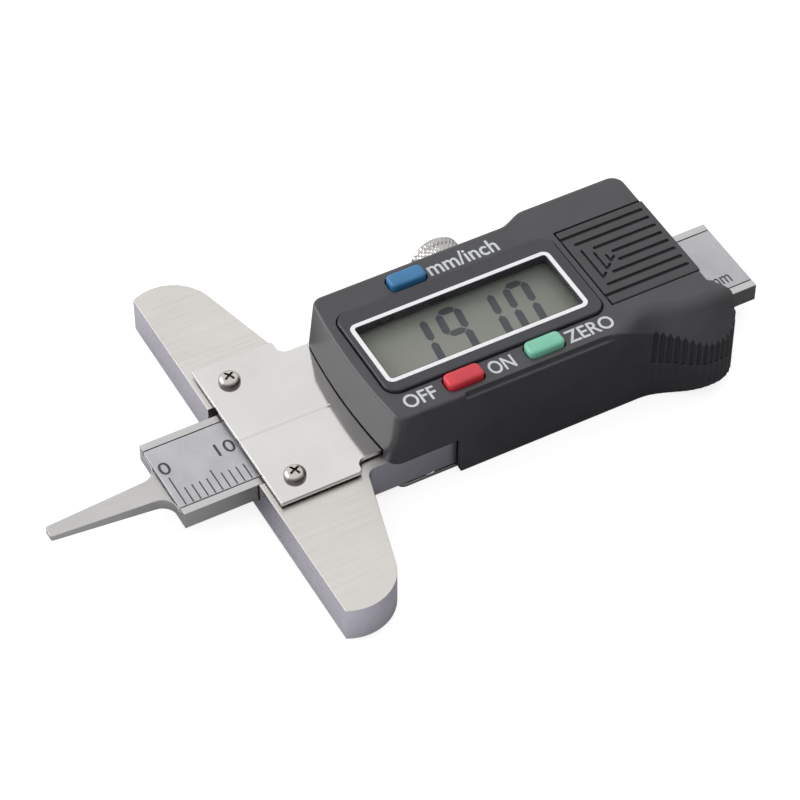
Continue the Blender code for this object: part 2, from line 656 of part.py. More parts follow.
def slope_wedge():
    """Tool above the slope, which starts at the shoulder line; its front end is slanted as well."""
    start, end = shoulder_ends()
    along = (end - start).normalized()
    outward = Vector((along.y, -along.x))
    furthest = max((Vector(point) - start).dot(outward) for point in grip_path(False))
    steepness = (HOUSING_TOP - SHELL_BOTTOM - GRIP_LIP) / furthest
    reach = furthest + OVERRUN
    section = [(-OVERRUN, OVERRUN), (reach, -reach), (reach, OVERRUN)]
    lead_share = SLOPE_LEAD / SHOULDER_FRONT_INSET
    front = []
    back = []
    for out, up in section:
        rise = steepness * up
        first = start + outward * out - along * (out * lead_share + rise * SLOPE_RUN_SHARE)
        last = end + outward * out + along * reach
        front.append((first.x, first.y, HOUSING_TOP + rise))
        back.append((last.x, last.y, HOUSING_TOP + rise))
    return loft(bmesh.new(), [front, back])


def housing_outline(front_x, grip):
    """Counter-clockwise plan outline; front_x is the front wall's place, grip the near rear part."""
    radius = FRONT_CORNER_RADIUS
    half_chord = (HOUSING_NEAR + HOUSING_FAR) / 2 - radius
    bow = math.degrees(math.asin(half_chord / FRONT_BOW_RADIUS))
    sag = FRONT_BOW_RADIUS * (1 - math.cos(math.radians(bow)))
    corner_x = front_x + sag + radius
    outline = arc((corner_x, -HOUSING_NEAR + radius), radius, 180 + bow, 270, 5)
    outline += grip
    corner = FAR_REAR_CORNER_RADIUS
    outline += arc((REAR_X - corner, HOUSING_FAR_REAR - corner), corner, 0, 90, 6)
    ramp_steps = 8
    for i in range(ramp_steps + 1):
        share = i / ramp_steps
        outline.append((FAR_RAMP_END_X - FAR_RAMP_LENGTH * share, HOUSING_FAR_REAR - FAR_STEP * ease(share)))
    outline += arc((corner_x, HOUSING_FAR - radius), radius, 90, 180 - bow, 5)
    bow_centre = (front_x + FRONT_BOW_RADIUS, (HOUSING_FAR - HOUSING_NEAR) / 2)
    outline += arc(bow_centre, FRONT_BOW_RADIUS, 180 - bow, 180 + bow, 8)[1:-1]
    return outline


def front_wall_x(z):
    """Place of the sloping front wall at a height."""
    share = (z - SHELL_BOTTOM) / (HOUSING_TOP - SHELL_BOTTOM)
    return FOOT_X + FRONT_WALL_LEAN * share


def upper_shell_rings():
    """Ribbed wall up to the brow, then a chamfer; the ribs end where the slope is cut."""
    foot = housing_outline(front_wall_x(SHELL_BOTTOM), grip_path(True))
    brow = housing_outline(front_wall_x(BROW_Z), grip_path(True))
    smooth_brow = housing_outline(front_wall_x(BROW_Z), grip_path(False))
    return [
        at_height(foot, SHELL_BOTTOM),
        at_height(brow, BROW_Z),
        at_height(inset(smooth_brow, HOUSING_CHAMFER), HOUSING_TOP),
    ]


def cavity_outline(x_low, gap):
    """Inside of the upper shell in plan, less a gap all round but at the front."""
    return rectangle(x_low, CAVITY_REAR - gap, -CAVITY_NEAR + gap, CAVITY_FAR - gap)


def buttons():
    """Name and place of each button."""
    return [
        ("units", (BEZEL_X + UNITS_BUTTON_OFFSET, FAR_BUTTON_Y)),
        ("power", (BEZEL_X + POWER_BUTTON_OFFSET, NEAR_BUTTON_Y)),
        ("zero", (BEZEL_X + ZERO_BUTTON_OFFSET, NEAR_BUTTON_Y)),
    ]


def button_outline(place, gap):
    half_length = BUTTON_LENGTH / 2 + gap
    half_width = BUTTON_WIDTH / 2 + gap
    x, y = place
    radius = BUTTON_CORNER_RADIUS + gap
    return rounded_rectangle(x - half_length, x + half_length, y - half_width, y + half_width, radius, 4)


def button_bays():
    bm = bmesh.new()
    for _, place in buttons():
        prism(button_outline(place, BUTTON_SIDE_GAP), SHELL_CEILING - OVERRUN, HOUSING_TOP + OVERRUN, bm)
    return bm


def window_box(margin, z_low, z_high):
    """Box round the display window, larger than the window by a margin on every side."""
    return box(
        WINDOW_X - margin, WINDOW_END_X + margin, -WINDOW_NEAR - margin, WINDOW_FAR + margin, z_low, z_high
    )


def bezel_outline(gap):
    radius = BEZEL_CORNER_RADIUS + gap
    return rounded_rectangle(BEZEL_X - gap, BEZEL_END_X + gap, -BEZEL_NEAR - gap, BEZEL_FAR + gap, radius)


def build_upper_housing(plastic):
    """Moulded shell, open below, with bosses, display seat, button openings and battery bay."""
    shell = add_object("upper_housing", loft(bmesh.new(), upper_shell_rings()), plastic, 32)
    below = SHELL_BOTTOM - OVERRUN
    above = HOUSING_TOP + OVERRUN
    cut(shell, slope_wedge())
    cut(shell, prism(cavity_outline(CAVITY_FRONT, 0), below, SHELL_CEILING))
    join(shell, columns(back_screw_places(), BOSS_RADIUS, BOARD_BOTTOM, SHELL_CEILING + SEAT_GAP))
    cut(shell, columns(back_screw_places(), BACK_SCREW_SHANK_RADIUS + SEAT_GAP, below, SCREW_TOP + SEAT_GAP))
    room_near = -PLATE_TAIL_NEAR - SEAT_GAP
    room_far = HOUSING_FAR + OVERRUN
    cut(shell, box(BASE_X, PLATE_END_X + SEAT_GAP, room_near, room_far, below, PLATE_TOP + SEAT_GAP))
    cut(shell, button_bays())
    cut(shell, prism(bezel_outline(BEZEL_SIDE_GAP), BEZEL_POCKET_FLOOR, above))
    cut(shell, window_box(LENS_MARGIN + SEAT_GAP, SHELL_CEILING - OVERRUN, above))
    cut(shell, window_box(LCD_MARGIN + SEAT_GAP, LCD_BOTTOM, LENS_BOTTOM))
    cut(shell, battery_bay())
    cut(shell, battery_mouth())
    cut(shell, tongue_way())
    return shell


def cover_span(inset_by):
    half = COVER_HALF_WIDTH - inset_by
    return CELL_OFFSET - half, CELL_OFFSET + half


def battery_bay():
    """Shallow pocket for the cover's top, open to the rear."""
    y_low, y_high = cover_span(-STRIP_SIDE_GAP)
    above = HOUSING_TOP + OVERRUN
    return box(COVER_X - STRIP_SIDE_GAP, REAR_CLEAR_X, y_low, y_high, COVER_POCKET_FLOOR, above)


def battery_mouth():
    """Opening over the cell, running out through the rear wall for the cover's webs."""
    y_low, y_high = cover_span(COVER_WEB_INSET - SEAT_GAP)
    x_low = CELL_X - CELL_RADIUS - SEAT_GAP
    return box(x_low, REAR_CLEAR_X, y_low, y_high, TONGUE_BOTTOM - SEAT_GAP, COVER_POCKET_FLOOR + SEAT_GAP)


def tongue_way():
    """Slot in the rear wall that lets the tongues pass."""
    y_low, y_high = cover_span(COVER_WEB_INSET - COVER_TONGUE_REACH - SEAT_GAP)
    x_low = CAVITY_REAR - OVERRUN
    return box(x_low, REAR_CLEAR_X, y_low, y_high, TONGUE_BOTTOM - SEAT_GAP, TONGUE_TOP + SEAT_GAP)


def lower_outline(grip):
    """Plan outline of the skirt: the housing's own outline behind the skirt's front face."""
    behind = [point for point in housing_outline(FOOT_X, grip) if point[0] > SKIRT_X]
    return [(SKIRT_X, -HOUSING_NEAR)] + behind + [(SKIRT_X, HOUSING_FAR)]


def build_lower_housing(plastic):
    """Moulded skirt round the slider frame, tucked in under the swelling, with a wall at the rear."""
    ribbed = lower_outline(grip_path(True))
    rings = [
        at_height(lower_outline(grip_path(False, GRIP_FOOT_BULGE)), 0),
        at_height(ribbed, GRIP_UNDERCUT),
        at_height(ribbed, SKIRT_TOP),
    ]
    skirt = add_object("lower_housing", loft(bmesh.new(), rings), plastic, 32)
    room_end = FRAME_END_X + SEAT_GAP
    near = -FRAME_NEAR - SEAT_GAP
    far = FRAME_FAR + SEAT_GAP
    above = SKIRT_TOP + OVERRUN
    cut(skirt, box(BASE_X, room_end, near, far, -OVERRUN, above))
    way = BEAM_WIDTH / 2 + SEAT_GAP
    cut(skirt, box(room_end - OVERRUN, REAR_CLEAR_X, -way, way, SLOT_FLOOR, above))
    cut(skirt, lock_hole(FRAME_FAR - OVERRUN, HOUSING_FAR + OVERRUN))
    return skirt


def build_bezel(plastic):
    """Raised frame round the display, with a small chamfer along its upper edge."""
    edge = BEZEL_RISE / 2
    rings = [
        at_height(bezel_outline(0), BEZEL_BOTTOM),
        at_height(bezel_outline(0), BEZEL_TOP - edge),
        at_height(inset(bezel_outline(0), edge), BEZEL_TOP),
    ]
    bezel = add_object("display_bezel", loft(bmesh.new(), rings), plastic)
    window = rounded_rectangle(WINDOW_X, WINDOW_END_X, -WINDOW_NEAR, WINDOW_FAR, WINDOW_CORNER_RADIUS, 3)
    cut(bezel, prism(window, BEZEL_BOTTOM - OVERRUN, BEZEL_TOP + OVERRUN))
    return bezel


def build_connector_strip(name, y, finish):
    """Striped rubber between the board and the glass, under the window's long edge."""
    half = CONNECTOR_WIDTH / 2
    x_low = WINDOW_X + CONNECTOR_END_INSET
    x_high = WINDOW_END_X - CONNECTOR_END_INSET
    strip = box(x_low, x_high, y - half, y + half, BOARD_TOP + SEAT_GAP, LCD_BOTTOM - SEAT_GAP)
    return add_object(name, strip, finish)


def build_circuit_board(finish):
    """Board over the beam, holed for the shell's bosses and for the cell's lower contact."""
    outline = cavity_outline(BOARD_X, SEAT_GAP)
    board = add_object("circuit_board", prism(outline, BOARD_BOTTOM, BOARD_TOP), finish)
    below = BOARD_BOTTOM - OVERRUN
    above = BOARD_TOP + OVERRUN
    cut(board, columns(back_screw_places(), BOSS_RADIUS + SEAT_GAP, below, above))
    cut(board, columns([(CELL_X, CELL_OFFSET)], BASE_CONTACT_RADIUS + SEAT_GAP, below, above))
    return board


def build_button(name, place, plastic):
    """Cap with a rounded top edge, two tabs under the ceiling and a stem over the rubber dome."""
    x, y = place
    top = HOUSING_TOP + BUTTON_RISE
    outline = button_outline(place, 0)
    middle_share = math.cos(math.radians(45))
    rings = [
        at_height(outline, TAB_BOTTOM),
        at_height(outline, top - BUTTON_EDGE),
        at_height(inset(outline, BUTTON_EDGE * (1 - middle_share)), top - BUTTON_EDGE * (1 - middle_share)),
        at_height(inset(outline, BUTTON_EDGE), top),
    ]
    cap = add_object(name, loft(bmesh.new(), rings), plastic, 50, origin=(x, y, top))
    reach = BUTTON_LENGTH / 2 + BUTTON_TAB
    half = BUTTON_WIDTH / 2 - BUTTON_EDGE
    join(cap, box(x - reach, x + reach, y - half, y + half, TAB_BOTTOM, TAB_TOP))
    join(cap, columns([place], BUTTON_STEM_RADIUS, STEM_BOTTOM, TAB_BOTTOM + BUTTON_EDGE))
    return cap


def build_dome(name, place, rubber):
    """Rubber dome on the board, as far under the stem as the button travels plus a gap."""
    bottom = BOARD_TOP + SEAT_GAP
    top = STEM_BOTTOM - BUTTON_TRAVEL - SEAT_GAP
    profile_shares = [(1.0, 0.0), (1.0, 0.35), (0.8, 0.75), (0.5, 1.0)]
    profile = [(DOME_RADIUS * across, bottom + (top - bottom) * up) for across, up in profile_shares]
    return add_object(name, turned(place, profile, 20), rubber, 40)


def groove_loop(index):
    """One of the nested grooves on the battery cover: two legs to the rear and a crosswise part."""
    pitch = COVER_HALF_WIDTH / (GROOVE_COUNT + 0.5)
    half = GROOVE_WIDTH / 2
    outer = pitch * (GROOVE_COUNT - index - 0.5) + half
    inner = outer - GROOVE_WIDTH
    x_low = COVER_X + pitch * index - half
    x_inner = x_low + GROOVE_WIDTH
    x_high = COVER_END_X - GROOVE_REAR_MARGIN
    y = CELL_OFFSET
    outline = [(x_low, y - outer), (x_high, y - outer), (x_high, y - inner), (x_inner, y - inner)]
    outline += [(x_inner, y + inner), (x_high, y + inner), (x_high, y + outer), (x_low, y + outer)]
    return outline


def build_battery_cover(plastic):
    """Sliding cover: grooved top, two webs beside the cell and tongues under the shell's ledges."""
    y_low, y_high = cover_span(0)
    slab = box(COVER_X, COVER_END_X, y_low, y_high, COVER_BOTTOM, COVER_TOP)
    cover = add_object("battery_cover", slab, plastic, origin=(COVER_X, CELL_OFFSET, COVER_TOP))
    web_x = CELL_X - CELL_RADIUS + SEAT_GAP
    web_top = COVER_BOTTOM + COVER_THICKNESS / 2
    outer = COVER_HALF_WIDTH - COVER_WEB_INSET
    inner = outer - COVER_WEB_THICKNESS
    for side in (-1, 1):
        web = sorted((CELL_OFFSET + side * inner, CELL_OFFSET + side * outer))
        tongue = sorted((CELL_OFFSET + side * inner, CELL_OFFSET + side * (outer + COVER_TONGUE_REACH)))
        join(cover, box(web_x, COVER_END_X, *web, TONGUE_BOTTOM, web_top))
        join(cover, box(web_x, COVER_END_X, *tongue, TONGUE_BOTTOM, TONGUE_TOP))
    grooves = bmesh.new()
    for index in range(GROOVE_COUNT):
        prism(groove_loop(index), COVER_TOP - GROOVE_DEPTH, COVER_TOP + OVERRUN, grooves)
    cut(cover, grooves)
    return cover


def build_coin_cell(steel):
    """Button cell: the narrower lower can with a step up to the full width."""
    inner = CELL_RADIUS - CELL_STEP
    profile = [
        (inner, CELL_BOTTOM),
        (inner, CELL_BOTTOM + CELL_STEP),
        (CELL_RADIUS, CELL_BOTTOM + CELL_STEP * 2),
        (CELL_RADIUS, CELL_BOTTOM + CELL_HEIGHT),
    ]
    return add_object("coin_cell", turned((CELL_X, CELL_OFFSET), profile, 32), steel, 35)


def build_side_contact(steel):
    x = CELL_X - CELL_RADIUS - SEAT_GAP
    half = CONTACT_WIDTH / 2
    low = BOARD_TOP + SEAT_GAP
    strip = box(
        x - CONTACT_THICKNESS, x, CELL_OFFSET - half, CELL_OFFSET + half, low, low + CONTACT_SIDE_HEIGHT
    )
    return add_object("battery_contact_side", strip, steel)


def build_base_contact(steel):
    top = CELL_BOTTOM - SEAT_GAP
    profile = [(BASE_CONTACT_RADIUS, top - CONTACT_THICKNESS), (BASE_CONTACT_RADIUS, top)]
    return add_object("battery_contact_base", turned((CELL_X, CELL_OFFSET), profile, 20), steel, 35)


def main():
    clear_scene()
    satin_steel = material("satin_steel", (0.60, 0.59, 0.57), 0.35, 1.0)
    frame_steel = material("frame_steel", (0.45, 0.44, 0.42), 0.4, 1.0)
    bright_steel = material("bright_steel", (0.75, 0.73, 0.71), 0.12, 1.0)
    screw_steel = material("screw_steel", (0.62, 0.61, 0.59), 0.25, 1.0)
    printed_strip = material("printed_strip", (0.64, 0.65, 0.68), 0.4, 0.6)
    black_plastic = material("black_plastic", (0.055, 0.055, 0.06), 0.45)
    bezel_plastic = material("bezel_plastic", (0.04, 0.04, 0.045), 0.25)
    clear_plastic = material("clear_plastic", (0.9, 0.92, 0.93), 0.05, 0.0, 0.2)
    lcd_glass = material("lcd_glass", (0.30, 0.31, 0.25), 0.25)
    grey_rubber = material("grey_rubber", (0.35, 0.35, 0.36), 0.7)
    circuit_board = material("circuit_board", (0.03, 0.16, 0.07), 0.4)
    contact_steel = material("contact_steel", (0.70, 0.68, 0.62), 0.3, 1.0)
    caps = {
        "units": material("blue_cap", (0.045, 0.22, 0.51), 0.35),
        "power": material("red_cap", (0.67, 0.045, 0.06), 0.35),
        "zero": material("green_cap", (0.15, 0.59, 0.35), 0.35),
    }

    build_measuring_base(satin_steel)
    build_back_plate(frame_steel)
    build_back_screws(screw_steel)
    build_cover_plate(bright_steel)
    build_cover_plate_screws(screw_steel)
    build_beam(satin_steel)
    build_scale_strip(printed_strip)
    build_gib_strip(contact_steel)
    build_lock_screw(screw_steel)
    build_upper_housing(black_plastic)
    build_lower_housing(black_plastic)
    build_bezel(bezel_plastic)
    add_object("display_lens", window_box(LENS_MARGIN, LENS_BOTTOM, LENS_TOP), clear_plastic)
    add_object("lcd_panel", window_box(LCD_MARGIN, LCD_BOTTOM, LCD_TOP), lcd_glass)
    build_connector_strip("connector_strip_near", -WINDOW_NEAR, grey_rubber)
    build_connector_strip("connector_strip_far", WINDOW_FAR, grey_rubber)
    build_circuit_board(circuit_board)
    for name, place in buttons():
        build_button(name + "_button", place, caps[name])
        build_dome(name + "_dome", place, grey_rubber)
    build_battery_cover(black_plastic)
    build_coin_cell(contact_steel)
    build_side_contact(contact_steel)
    build_base_contact(contact_steel)


main()
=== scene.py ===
"""Looks of a pocket digital depth gauge: finer pieces, materials, studio light and camera."""

import math

import bmesh
import bpy
from mathutils import Matrix, Vector


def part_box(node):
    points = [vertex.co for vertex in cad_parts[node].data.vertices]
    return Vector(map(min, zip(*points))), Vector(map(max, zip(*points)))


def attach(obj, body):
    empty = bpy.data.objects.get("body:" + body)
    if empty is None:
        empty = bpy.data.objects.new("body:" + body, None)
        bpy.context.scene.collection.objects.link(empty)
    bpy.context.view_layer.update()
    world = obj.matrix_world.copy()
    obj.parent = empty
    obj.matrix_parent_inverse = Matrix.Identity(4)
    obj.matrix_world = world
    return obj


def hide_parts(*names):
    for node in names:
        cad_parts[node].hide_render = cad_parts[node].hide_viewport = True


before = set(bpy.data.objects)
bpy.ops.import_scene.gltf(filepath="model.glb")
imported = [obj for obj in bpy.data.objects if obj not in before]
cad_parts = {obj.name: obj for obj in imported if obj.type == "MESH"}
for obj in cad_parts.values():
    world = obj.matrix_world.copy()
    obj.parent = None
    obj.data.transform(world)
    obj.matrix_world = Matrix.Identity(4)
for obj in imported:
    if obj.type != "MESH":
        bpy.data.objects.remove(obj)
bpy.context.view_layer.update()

# Lengths in this script are in millimetres, in the CAD's own frame, and are scaled when a piece is made.
MM = 0.001

# Play round what is seated, and how far a tool reaches past what it cuts.
SEAT_GAP = 0.3
OVERRUN = 2.0

# Outline
BASE_X = -23.3
FOOT_X = -8.4
BROW_X = -7.5
REAR_X = 39.0
REAR_REACH = 5.0
SKIRT_X = 2.0
FRAME_END_X = 37.0
FRAME_NEAR = 10.9
FRAME_FAR = 10.4
HOUSING_NEAR = 12.0
HOUSING_FAR = 11.5
HOUSING_FAR_REAR = 12.9
FRONT_BOW_RADIUS = 83.0
FRONT_CORNER_RADIUS = 1.6
FAR_REAR_CORNER_RADIUS = 1.8
FAR_RAMP_END_X = 24.7
FAR_RAMP_LENGTH = 4.2
SHELL_BOTTOM = 6.3
SKIRT_TOP = 6.0
HOUSING_TOP = 14.0
EDGE_RADIUS = 0.55

# Swelling for the thumb
GRIP_LEAD = 1.2
GRIP_RIM_START = 23.3
GRIP_LENGTH = 8.0
GRIP_FLARE_LENGTH = 8.4
GRIP_BULGE = 3.9
GRIP_FOOT_BULGE = 2.1
GRIP_UNDERCUT = 2.4
GRIP_REAR_BULGE = 1.7
GRIP_CORNER_RADIUS = 3.5
GRIP_COVER_GAP = 1.65
NEAR_RIM = 12.15
# Where the top bends into the slope over the swelling: x and distance from the middle line.
SHOULDER = (
    (22.5, 13.3), (24.2, 12.3), (25.2, 11.75), (26.9, 11.0), (28.1, 10.45), (29.1, 10.2), (30.2, 10.25),
    (31.2, 10.6), (32.9, 11.3), (34.0, 11.65), (36.6, 11.85), (44.0, 11.9),
)
SLOPE_STEEPNESS = 1.15
SLOPE_BLEND = 0.9
RIB_COUNT = 17
RIB_SAMPLES = 12
RIB_DEPTH = 0.34
RIB_FOOT_DEPTH = 0.14
RIB_SHARPNESS = 1.3

# Steps along the edge on the near side of the top: outwards and upwards from where it starts.
LEDGE_START = 2.2
LEDGE_END = 25.4
LEDGE_INNER = 11.66
LEDGE_PROFILE = (
    (0.0, OVERRUN), (0.0, -0.14), (0.10, -0.62), (0.17, -0.78), (0.42, -0.86), (0.53, -0.96), (0.59, -1.2),
)
# Place along the edge, and how far outside it the tool is there.
LEDGE_RINGS = ((LEDGE_START, 0.75), (LEDGE_START + 0.4, 0.0), (LEDGE_END - 3.0, 0.0), (LEDGE_END, 0.7))

# Inside of the housing
SHELL_WALL = 1.1
SEAM = 0.06
SHELL_CEILING = 12.3
BOARD_BOTTOM = 6.3
PLATE_TOP = 6.9
PLATE_NEAR = 9.5
BOSS_RADIUS = 1.6
BOSS_HOLE_RADIUS = 0.9
BOSS_HOLE_TOP = 9.9
PANEL_ROOM = (10.3, 12.6)
RAIL_ROOM_BOTTOM = 11.1
RAIL_ROOM_LENGTH = 13.3
TONGUE_ROOM_LENGTH = 3.1
BEAM_HALF_WIDTH = 6.4
BEAM_WAY_BOTTOM = 2.8
LOCK_HOLE_RADIUS = 1.3

# Battery cover
CELL_OFFSET = -0.15
COVER_HALF_WIDTH = 7.2
COVER_X = 26.1
COVER_END_X = 39.25
COVER_PLAY = 0.15
COVER_POCKET_FLOOR = 12.9
COVER_RAIL = 0.65
COVER_TONGUE = 0.7
GRIP_RETURN_Y = CELL_OFFSET - COVER_HALF_WIDTH - GRIP_COVER_GAP

# A flat face of at least this many square millimetres isn't smoothed into its edges.
FLAT_AREA = 8.0
LEVEL_NORMAL = 0.999
WELD_DISTANCE = 0.002
COPLANAR_DEG = 0.5
SHARPER_THAN_DEG = 32


# Geometry helpers

def loft(bm, rings):
    """Closed solid over rings of equally many points."""
    rows = [[bm.verts.new(point) for point in points] for points in rings]
    count = len(rows[0])
    for lower, upper in zip(rows, rows[1:]):
        for i in range(count):
            j = (i + 1) % count
            bm.faces.new((lower[i], lower[j], upper[j], upper[i]))
    bm.faces.new(list(reversed(rows[0])))
    bm.faces.new(rows[-1])
    return bm


def at_height(outline, z):
    return [(x, y, z) for x, y in outline]


def prism(outline, z_low, z_high, bm=None):
    return loft(bm or bmesh.new(), [at_height(outline, z_low), at_height(outline, z_high)])


def box(x_low, x_high, y_low, y_high, z_low, z_high, bm=None):
    outline = [(x_low, y_low), (x_high, y_low), (x_high, y_high), (x_low, y_high)]
    return prism(outline, z_low, z_high, bm)


def arc(centre, radius, start_deg, end_deg, steps):
    angles = [math.radians(start_deg + (end_deg - start_deg) * i / steps) for i in range(steps + 1)]
    return [(centre[0] + radius * math.cos(a), centre[1] + radius * math.sin(a)) for a in angles]


def circle(centre, radius, steps):
    return arc(centre, radius, 0, 360 * (steps - 1) / steps, steps - 1)


def rounded_rectangle(x_low, x_high, y_low, y_high, radius, steps=8):
    outline = arc((x_high - radius, y_low + radius), radius, -90, 0, steps)
    outline += arc((x_high - radius, y_high - radius), radius, 0, 90, steps)
    outline += arc((x_low + radius, y_high - radius), radius, 90, 180, steps)
    outline += arc((x_low + radius, y_low + radius), radius, 180, 270, steps)
    return outline


def turned(centre, profile, steps=48, bm=None):
    rings = [at_height(circle(centre, radius, steps), z) for radius, z in profile]
    return loft(bm or bmesh.new(), rings)


def inset(outline, distance):
    """Move a closed counter-clockwise outline inwards."""
    moved = []
    count = len(outline)
    for i, point in enumerate(outline):
        before = Vector(outline[i - 1])
        here = Vector(point)
        after = Vector(outline[(i + 1) % count])
        first = (here - before).normalized()
        second = (after - here).normalized()
        inward = Vector((-first.y - second.y, first.x + second.x)).normalized()
        reach = distance / max(inward.dot(Vector((-first.y, first.x))), 0.5)
        moved.append(tuple(here + inward * reach))
    return moved


def ease(share):
    """Smooth step from 0 to 1."""
    share = min(max(share, 0.0), 1.0)
    return (1 - math.cos(math.pi * share)) / 2


def carve(bm, *steps):
    """Apply booleans in turn. Each step is ("cut" or "join", tool bmesh). All tools are used up."""
    main = temporary(bm)
    tools = []
    for kind, tool_bm in steps:
        tool = temporary(tool_bm)
        modifier = main.modifiers.new("step", "BOOLEAN")
        modifier.operation = "DIFFERENCE" if kind == "cut" else "UNION"
        modifier.solver = "EXACT"
        modifier.object = tool
        tools.append(tool)
    bpy.context.view_layer.update()
    shaped = main.evaluated_get(bpy.context.evaluated_depsgraph_get())
    result = bmesh.new()
    result.from_mesh(shaped.to_mesh())
    shaped.to_mesh_clear()
    for old in [main] + tools:
        mesh = old.data
        bpy.data.objects.remove(old, do_unlink=True)
        bpy.data.meshes.remove(mesh)
    return result


def temporary(bm):
    bmesh.ops.recalc_face_normals(bm, faces=bm.faces)
    mesh = bpy.data.meshes.new("temporary")
    bm.to_mesh(mesh)
    bm.free()
    made = bpy.data.objects.new("temporary", mesh)
    bpy.context.scene.collection.objects.link(made)
    return made


def rounded_top(outline, z, radius, steps, rise=1.0):
    """Rings of a rounded upper edge that starts at this height."""
    rings = []
    for i in range(1, steps + 1):
        angle = math.pi / 2 * i / steps
        pull = radius * (1 - math.cos(angle))
        rings.append(at_height(inset(outline, pull), z + radius * rise * math.sin(angle)))
    return rings


def round_edges(bm, width, segments=2, where=None):
    """Round the sharp edges; where can pick them by their middle."""
    limit = math.radians(SHARPER_THAN_DEG)
    edges = []
    for edge in bm.edges:
        if len(edge.link_faces) != 2 or edge.calc_face_angle(0.0) < limit:
            continue
        middle = (edge.verts[0].co + edge.verts[1].co) / 2
        if where is None or where(middle):
            edges.append(edge)
    bmesh.ops.bevel(
        bm, geom=edges, offset=width, offset_type="OFFSET", segments=segments, profile=0.5,
        affect="EDGES", clamp_overlap=True,
    )
    return bm


def node_copy(name):
    """A CAD node's shape in millimetres, with its coplanar triangles joined again."""
    bm = bmesh.new()
    bm.from_mesh(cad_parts[name].data)
    bmesh.ops.scale(bm, vec=(1 / MM, 1 / MM, 1 / MM), verts=bm.verts)
    bmesh.ops.remove_doubles(bm, verts=bm.verts, dist=WELD_DISTANCE)
    bmesh.ops.dissolve_limit(
        bm, angle_limit=math.radians(COPLANAR_DEG), verts=bm.verts, edges=bm.edges,
        use_dissolve_boundaries=False,
    )
    return bm


def piece(name, bm, body, finish, replaced=(), smooth=35, level_only=True):
    """Make the object from a bmesh in millimetres, attach it to its body, and hide the CAD nodes it
    replaces.

    Large flat faces keep their own normal, so that the rounded edges don't tint them.
    """
    bmesh.ops.recalc_face_normals(bm, faces=bm.faces)
    bmesh.ops.scale(bm, vec=(MM, MM, MM), verts=bm.verts)
    mesh = bpy.data.meshes.new(name)
    bm.to_mesh(mesh)
    bm.free()
    mesh.shade_smooth()
    mesh.set_sharp_from_angle(angle=math.radians(smooth))
    for face in mesh.polygons:
        level = abs(face.normal.z) > LEVEL_NORMAL
        if face.area > FLAT_AREA * MM ** 2 and (level or not level_only):
            face.use_smooth = False
    mesh.materials.append(finish)
    made = bpy.data.objects.new(name, mesh)
    bpy.context.scene.collection.objects.link(made)
    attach(made, body)
    if replaced:
        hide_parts(*replaced)
    return made


# Materials

